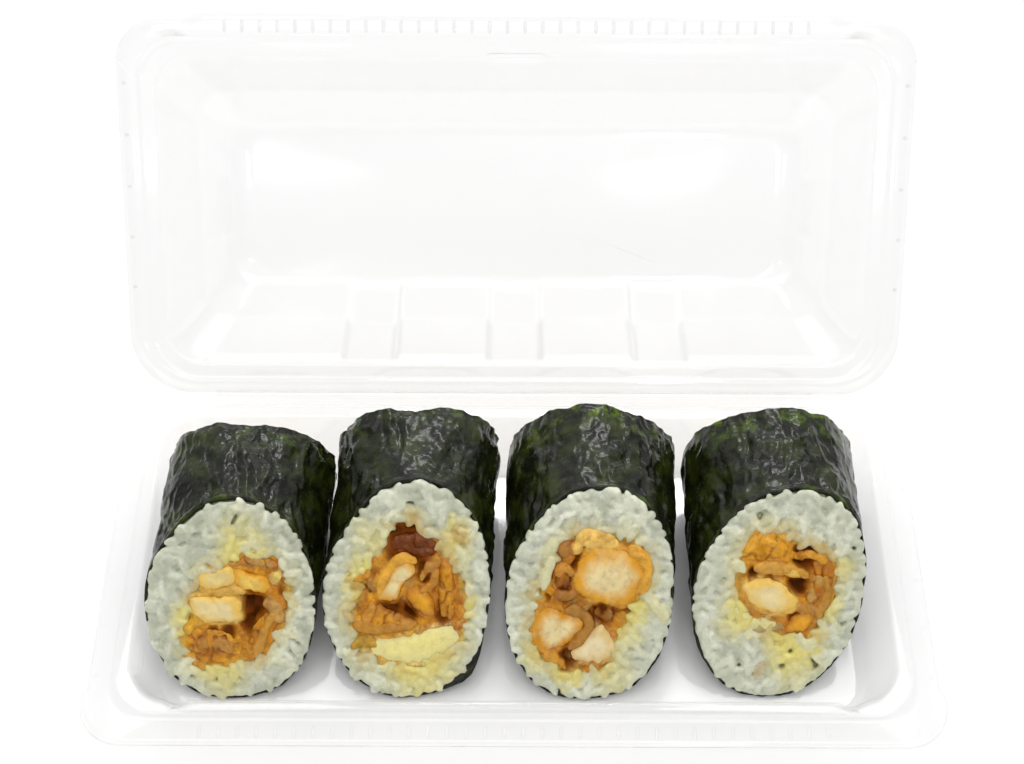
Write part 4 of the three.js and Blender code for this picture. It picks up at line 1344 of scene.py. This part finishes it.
def strip_shell(spread, path, width, proud, around=16, along=34):
    """A thin strip that lies over the filling, with blunt uneven ends."""
    run = smooth_path(path, along, closed=False)
    ahead = np.gradient(run, axis=0)
    ahead /= np.linalg.norm(ahead, axis=1)[:, None]
    sideways = np.stack([-ahead[:, 1], ahead[:, 0]], 1)
    share = np.linspace(-1, 1, along)
    full = np.sqrt(np.clip(1 - np.abs(share) ** 5, 0.012, 1))
    seed = np.column_stack([run, np.full(along, 9.0)])
    wide = width / 2 * full * (1 + 0.4 * rough(seed, 2.0))
    thick = (0.45 + 0.25 * proud) * full
    rise = 0.35 * rough(seed + 4, 3.2)
    turn = np.arange(around) / around * TAU
    square = np.sign(np.cos(turn)) * np.abs(np.cos(turn)) ** 0.7
    across = run[:, None, :] + sideways[:, None, :] * (wide[:, None] * square[None, :])[..., None]
    height = proud - thick[:, None] + rise[:, None] + thick[:, None] * np.sin(turn)[None, :] * 1.1
    return loft(spread(across[..., 0], across[..., 1], height))


def strip_tint(points, colour):
    """A strip's colour, browned in some patches and lighter in others."""
    patch = rough(points, 2.4)
    colours = stained(colour, UMBER, 0.5 * patch)
    return np.clip(colours * (1 - 0.4 * np.minimum(patch, 0))[:, None], 0, 1)


BED = {"sunk": 2.2, "around": 96, "rows": 6}  # the sauced mass ends this far behind the cut
SAUCE = {"thick": 2.4, "around": 150, "rows": 30}
COLLAR = {"thick": 2.0, "around": 48, "out": 0.9, "above": 0.15}
COLLAR_SHARES = np.array([1, 0.97, 0.9, 0.8, 0.65, 0.4, 0.1])


def sauce_shell(roll):
    """The dark sauced mass from end to end, behind the shreds that show."""
    turn = np.arange(BED["around"]) / BED["around"]
    edge = np.stack(roll.core(turn, 0.6), 1)
    u, z = drawn_in(edge, edge.mean(0), np.linspace(1, 0.06, BED["rows"]))
    front = roll.face(u, z, -BED["sunk"])
    back = roll.back_face(u, z, -BED["sunk"])
    return loft([*back[::-1], roll.place(u[0], z[0], 0.5), *front])


def skin_over(spread, u, z, height, thick):
    """A closed skin over rings of one end, with its underside a thickness lower."""
    return loft([*spread(u, z, height - thick)[::-1], *spread(u, z, height)])


def sauce_crust(roll, front):
    """The lumpy sauced top of the filling at one end, yellow at its edge, and sunk and dark in pockets of
    dark sauce and painted shade.
    """
    turn = np.arange(SAUCE["around"]) / SAUCE["around"]
    edge = np.stack(roll.core(turn, 0.7), 1)
    shares = np.linspace(1, 0.03, SAUCE["rows"])
    u, z = drawn_in(edge, edge.mean(0), shares)
    seed = np.stack([u, z, np.full(u.shape, 11.0 * roll.number + 3 * front)], -1)
    lumps = rough(seed, 3.0, 2) * 0.8
    dark = dark_at(roll, u, z)
    height = lumps * ease(shares, 1.0, 0.8)[:, None] - 0.3 - 0.6 * dark
    light = stained(GOLD, COPPER, 0.4 + 0.9 * rough(seed, 3.4, 2))
    light = stained(light, UMBER, 0.05 + 1.1 * rough(seed + 20, 3.2, 2))
    edged = ease(shares, 0.74, 0.98)[:, None] * 0.9 + 0.4 * rough(seed + 7, 3.0)
    light = stained(light, tone(214, 182, 84), edged)
    # darker in the pockets of dark sauce and painted shade
    tint = stained(light, UMBER, dark)
    tint = np.concatenate([tint[::-1], tint])
    points, faces = skin_over(roll.end(front), u, z, height, SAUCE["thick"])
    return points, faces, np.vstack([tint.reshape(-1, 4), tint[0, :1], tint[-1, :1]])


def add_collars(roll, batch, front):
    """Sauce that has crept up round each filling, a little below the filling's own top."""
    shares = COLLAR_SHARES
    dome = (1 - shares**5) ** 0.5
    for _, _, proud, _, _, rim, outline in FILLINGS[roll.number - 1]:
        loop = smooth_path(outline, COLLAR["around"], closed=True)
        middle = loop.mean(0)
        grown = 1 + COLLAR["out"] / np.linalg.norm(loop - middle, axis=1)
        loop = middle + (loop - middle) * grown[:, None]
        u, z = drawn_in(loop, middle, shares)
        crept = (proud + COLLAR["above"]) * dome - 1.2 * ease(shares, 0.85, 0.5)
        height = crept[:, None] - 0.6 + 0.25 * rough_at(u, z, 2, 2.5)
        points, faces = skin_over(roll.end(front), u, z, height, COLLAR["thick"])
        tint = stained(rim, COPPER, 0.3 + 0.8 * rough(points, 3.0))
        batch.add(points, faces, tint=tint)


def inside(outline, u, z):
    """Whether a place of the cut face lies inside an outline."""
    hit = False
    for (x0, z0), (x1, z1) in zip(outline, outline[1:] + outline[:1]):
        if (z0 > z) != (z1 > z) and u < x0 + (z - z0) * (x1 - x0) / (z1 - z0):
            hit = not hit
    return hit


SCRAPS = {"count": 46, "length": (3.0, 7.0), "width": (1.6, 3.0), "proud": (-0.1, 0.6)}


def add_scraps(roll, batch, front):
    """Short bent shreds of sauced meat in the gaps between the fillings."""
    draws = np.random.default_rng(40 + roll.number + 10 * front)
    x, z = roll.spec["core"]
    shades = [COPPER, GOLD, AMBER, GOLD, COPPER, TAN]
    for _ in range(SCRAPS["count"]):
        out = math.sqrt(draws.uniform(0, 1)) * 0.9
        angle = draws.uniform(0, TAU)
        lean = draws.uniform(0, math.pi)
        length, width, proud = (draws.uniform(*SCRAPS[key]) for key in ("length", "width", "proud"))
        bend = draws.uniform(-0.35, 0.35) * length
        shade = shades[draws.integers(len(shades))]
        edge_u, edge_z = roll.core(np.array(angle / TAU))
        u, height = x + (edge_u - x) * out, z + (edge_z - z) * out
        covered = any(inside(outline, u, height) for *_, outline in FILLINGS[roll.number - 1])
        if covered or dark_at(roll, u, height) > 0.3:
            continue
        ahead = np.array([math.cos(lean), math.sin(lean)])
        aside = np.array([-ahead[1], ahead[0]])
        middle = np.array([u, height])
        path = [middle - ahead * length / 2, middle + aside * bend, middle + ahead * length / 2]
        points, faces = strip_shell(roll.end(front), path, width, proud, around=12, along=16)
        batch.add(points, faces, tint=strip_tint(points, shade))


FUSE = {"cut": 0.295, "back": 0.44}  # the pitch of the skin that the ends melt into
SOFTENED = {"rice": 4, "shreds": 2}
HOLLOWS = {"rice": (-0.25, -1.2), "shreds": (0.0, -1.3)}  # where the painted shade of the hollows starts and is full
UNEVEN = {"size": 2.4, "depth": 0.35}
PALE_SHRED = {"shade": 0.6, "yellow": 0.4, "brown": 0.0}


def mark_hollows(mesh, roll, front, high, low, pockets=0.0):
    """Marks how deep each point lies in the end, 0 at the high level and 1 at the low one, as painted shade,
    deepened in the pockets of dark sauce, and marks raised parts for painted light.
    """
    base = roll.end(front)(0, ROLL_Z)
    points = points_of(mesh)
    height = (points - base) @ roll.outward(front)
    dark = dark_at(roll, points[:, 0] - base[0], points[:, 2]) * ease(height, 1.3, 0.4) * pockets
    set_mark(mesh, "hollow", np.maximum(ease(height, high, low), dark))
    # painted light: raised parts are marked to be drawn lighter
    set_mark(mesh, "raised_light", ease(height, 0.3, 1.6))


def make_rice_end(roll, end, front, finishes, grains):
    """The grains, the rice they are pressed into and the pale shreds, melted into one skin."""
    strewn = grains.grow(strewn_face(roll, front), seed=10 * roll.number + front)
    laid = keep_in_wrap(roll, pressed(roll, points_of(strewn), front))
    crust = Batch()
    marks = {name: mark_values(strewn, name) for name in ("shade", "yellow", "brown")}
    crust.add(laid, [tuple(face.vertices) for face in strewn.polygons], **marks)
    bpy.data.meshes.remove(strewn)
    points, faces, marks = rice_crust(roll, front)
    crust.add(points, faces, **marks)
    for width, proud, path in SHREDS[roll.number - 1] if front else ():
        points, faces = strip_shell(roll.face, path, width, proud)
        crust.add(points, faces, **{name: np.full(len(points), value) for name, value in PALE_SHRED.items()})
    mesh = fused(crust.mesh("rice"), FUSE[end], SOFTENED["rice"])
    mark_hollows(mesh, roll, front, *HOLLOWS["rice"])
    place_piece(f"rice_grains_{end}_{roll.number}", mesh, finishes["rice"], "tray", "rice")


def make_shreds_end(roll, end, front, finishes):
    """The shredded, sauced filling between the larger pieces, melted into one skin."""
    shreds = Batch()
    points, faces, tint = sauce_crust(roll, front)
    shreds.add(points, faces, tint=tint)
    add_scraps(roll, shreds, front)
    add_collars(roll, shreds, front)
    for width, proud, colour, path in STRIPS[roll.number - 1]:
        points, faces = strip_shell(roll.end(front), path, width, proud)
        shreds.add(points, faces, tint=strip_tint(points, colour))
    mesh = fused(shreds.mesh("shreds"), FUSE[end], SOFTENED["shreds"])
    roughened(mesh, **UNEVEN)
    mark_hollows(mesh, roll, front, *HOLLOWS["shreds"], pockets=0.85)
    place_piece(f"braised_shreds_{end}_{roll.number}", mesh, finishes["brown"], "tray", "brown")


def make_roll(roll, finishes, grains):
    number = roll.number
    *wrap, thin = nori_shell(roll)
    shell_piece(f"nori_wrap_{number}", wrap, finishes["nori"], "tray", "nori", [f"nori_{number}"], thin=thin)
    *packed, marks = rice_shell(roll)
    shell_piece(f"rice_body_{number}", packed, finishes["rice"], "tray", "rice", [f"rice_{number}"], **marks)
    bed = sauce_shell(roll)
    tint = np.tile(np.array(COPPER), (len(bed[0]), 1))
    node = f"sauce_{number}"
    shell_piece(f"sauce_bed_{number}", bed, finishes["sauce"], "tray", "sauce", [node], tint=tint)
    for end, front in (("cut", True), ("back", False)):
        make_rice_end(roll, end, front, finishes, grains)
        make_shreds_end(roll, end, front, finishes)
    for node, kind, proud, flat, inner, rim, outline in FILLINGS[number - 1]:
        *shell, tint = filling_shell(roll, kind, outline, proud, flat, inner, rim)
        shell_piece(f"{node}_piece", shell, finishes[kind], "tray", kind, [node], tint=tint)


# ---- stage, camera and light ----

VIEW = {
    "target": np.array([-0.73, 56.2, 20.0]), "distance": 474.0, "elevation": 55.0,
    "yaw": -0.047, "roll": -0.277, "focal_px": 1673.2, "width_px": 1024,
}


def make_camera():
    """The camera, looking down at the open box from its front."""
    rise, yaw, lean = (math.radians(VIEW[key]) for key in ("elevation", "yaw", "roll"))
    back = np.array([math.sin(yaw) * math.cos(rise), -math.cos(yaw) * math.cos(rise), math.sin(rise)])
    level_right = np.array([math.cos(yaw), math.sin(yaw), 0])
    level_up = np.cross(back, level_right)
    right = level_right * math.cos(lean) - level_up * math.sin(lean)
    up = level_right * math.sin(lean) + level_up * math.cos(lean)
    data = bpy.data.cameras.new("view")
    data.sensor_width = 36
    data.lens = VIEW["focal_px"] / VIEW["width_px"] * data.sensor_width
    data.clip_start, data.clip_end = 0.01, 20
    camera = bpy.data.objects.new("view", data)
    turned = Matrix(np.stack([right, up, back], 1).tolist()).to_4x4()
    turned.translation = Vector((VIEW["target"] + back * VIEW["distance"]) * MM)
    camera.matrix_world = turned
    bpy.context.collection.objects.link(camera)
    bpy.context.scene.camera = camera


def softbox(name, azimuth, elevation, distance, size, power, target):
    """A soft light at an azimuth from the front and an elevation, turned to the box."""
    data = bpy.data.lights.new(name, "AREA")
    data.shape = "RECTANGLE"
    data.size, data.size_y = size
    data.energy = power
    lamp = bpy.data.objects.new(name, data)
    a, e = math.radians(azimuth), math.radians(elevation)
    away = Vector((math.sin(a) * math.cos(e), -math.cos(a) * math.cos(e), math.sin(e)))
    lamp.location = Vector(target) * MM + away * distance
    lamp.rotation_mode = "QUATERNION"
    lamp.rotation_quaternion = away.to_track_quat("Z", "Y")
    lamp.visible_camera = False
    bpy.context.collection.objects.link(lamp)


# Each light: name, azimuth, elevation, distance, size, power and what it is turned to.
LIGHTS = [
    ("overhead", 0, 80, 1.3, (1.3, 0.9), 5.4, (0, 30, 20)),
    ("behind", 177, 56, 1.3, (0.36, 0.14), 2.8, (0, 30, 20)),
    ("behind_left", 205, 64, 1.3, (0.3, 0.16), 0.4, (-70, -40, 20)),
    ("behind_right", 155, 64, 1.3, (0.3, 0.16), 0.4, (70, -40, 20)),
    ("key", 6.5, 32.6, 1.5, (0.12, 0.034), 0.6, (45, 121, 45)),
    ("key_left", -8, 32.2, 1.5, (0.08, 0.012), 0.045, (-55, 118, 42)),
]
BOUNCES = {
    "transparent_max_bounces": 12, "max_bounces": 4, "diffuse_bounces": 2, "glossy_bounces": 2,
}


def make_room():
    """A pale room that is brighter behind the box, and ahead of it high up."""
    world = bpy.data.worlds.new("room")
    world.use_nodes = True
    bpy.context.scene.world = world
    room = Tree(world.node_tree)
    way = room.node("ShaderNodeTexCoord", output="Generated")
    height = room.node("ShaderNodeSeparateXYZ", None, {0: way}, output="Z")
    behind = height.also("Y").rise(0.05, 0.6) * height.rise(0.02, 0.2)
    ahead = (height.also("Y") * -1).rise(0.05, 0.5) * height.rise(0.4, 0.65)
    low = height.also("Y").rise(0.7, 0.9) * height.rise(0.22, 0.32) * (1 - height.rise(0.45, 0.55))
    glow = height.rise(-0.1, 0.75) * 0.22 + 0.19 + 0.5 * behind + 0.5 * ahead + 2.2 * low
    sky = room.node("ShaderNodeBackground", None, {"Color": (1, 1, 1, 1), "Strength": glow})
    room.node("ShaderNodeOutputWorld", None, {"Surface": sky})


def make_stage():
    half, drop = 3.0, -0.1 * MM
    corners = [(x * half, y * half, drop) for x, y in ((-1, -1), (1, -1), (1, 1), (-1, 1))]
    floor = bpy.data.meshes.new("floor")
    floor.from_pydata(corners, [], [(0, 1, 2, 3)])
    floor.materials.append(pale_floor())
    base = bpy.data.objects.new("floor", floor)
    bpy.context.collection.objects.link(base)
    make_room()
    for light in LIGHTS:
        softbox(*light)
    scene = bpy.context.scene
    scene.view_settings.view_transform = "Standard"
    scene.view_settings.look = "None"
    for bounces, count in BOUNCES.items():
        setattr(scene.cycles, bounces, count)


make_camera()
make_stage()
# painted light and shade: the tray's sheet is made clearer than the lid's to brighten the shade inside the
# tray, and the lid's is greyed, though both are one plastic
make_box(clear_sheet("clear_tray", 0.997), clear_sheet("clear_lid", 0.954))
rice = cooked_rice()
finishes = {
    "nori": seaweed(),
    "rice": rice,
    "sauce": filling("dark_sauce", 0.24, 0.25, wet=0.14),
    "mayo": filling("mayonnaise", 0.3, 0.05, wet=0.1),
    "chicken": filling("chicken", 0.36, 0.04, fibre=0.08, wet=0.1),
    "glazed": filling("glazed_meat", 0.28, 0.09, fibre=0.05, wet=0.14),
    "brown": filling("braised_strips", 0.24, 0.22, fibre=0.05, wet=0.14),
}
grains = grain_rule(rice)
for index, spec in enumerate(ROLLS):
    make_roll(Roll(index + 1, spec), finishes, grains)
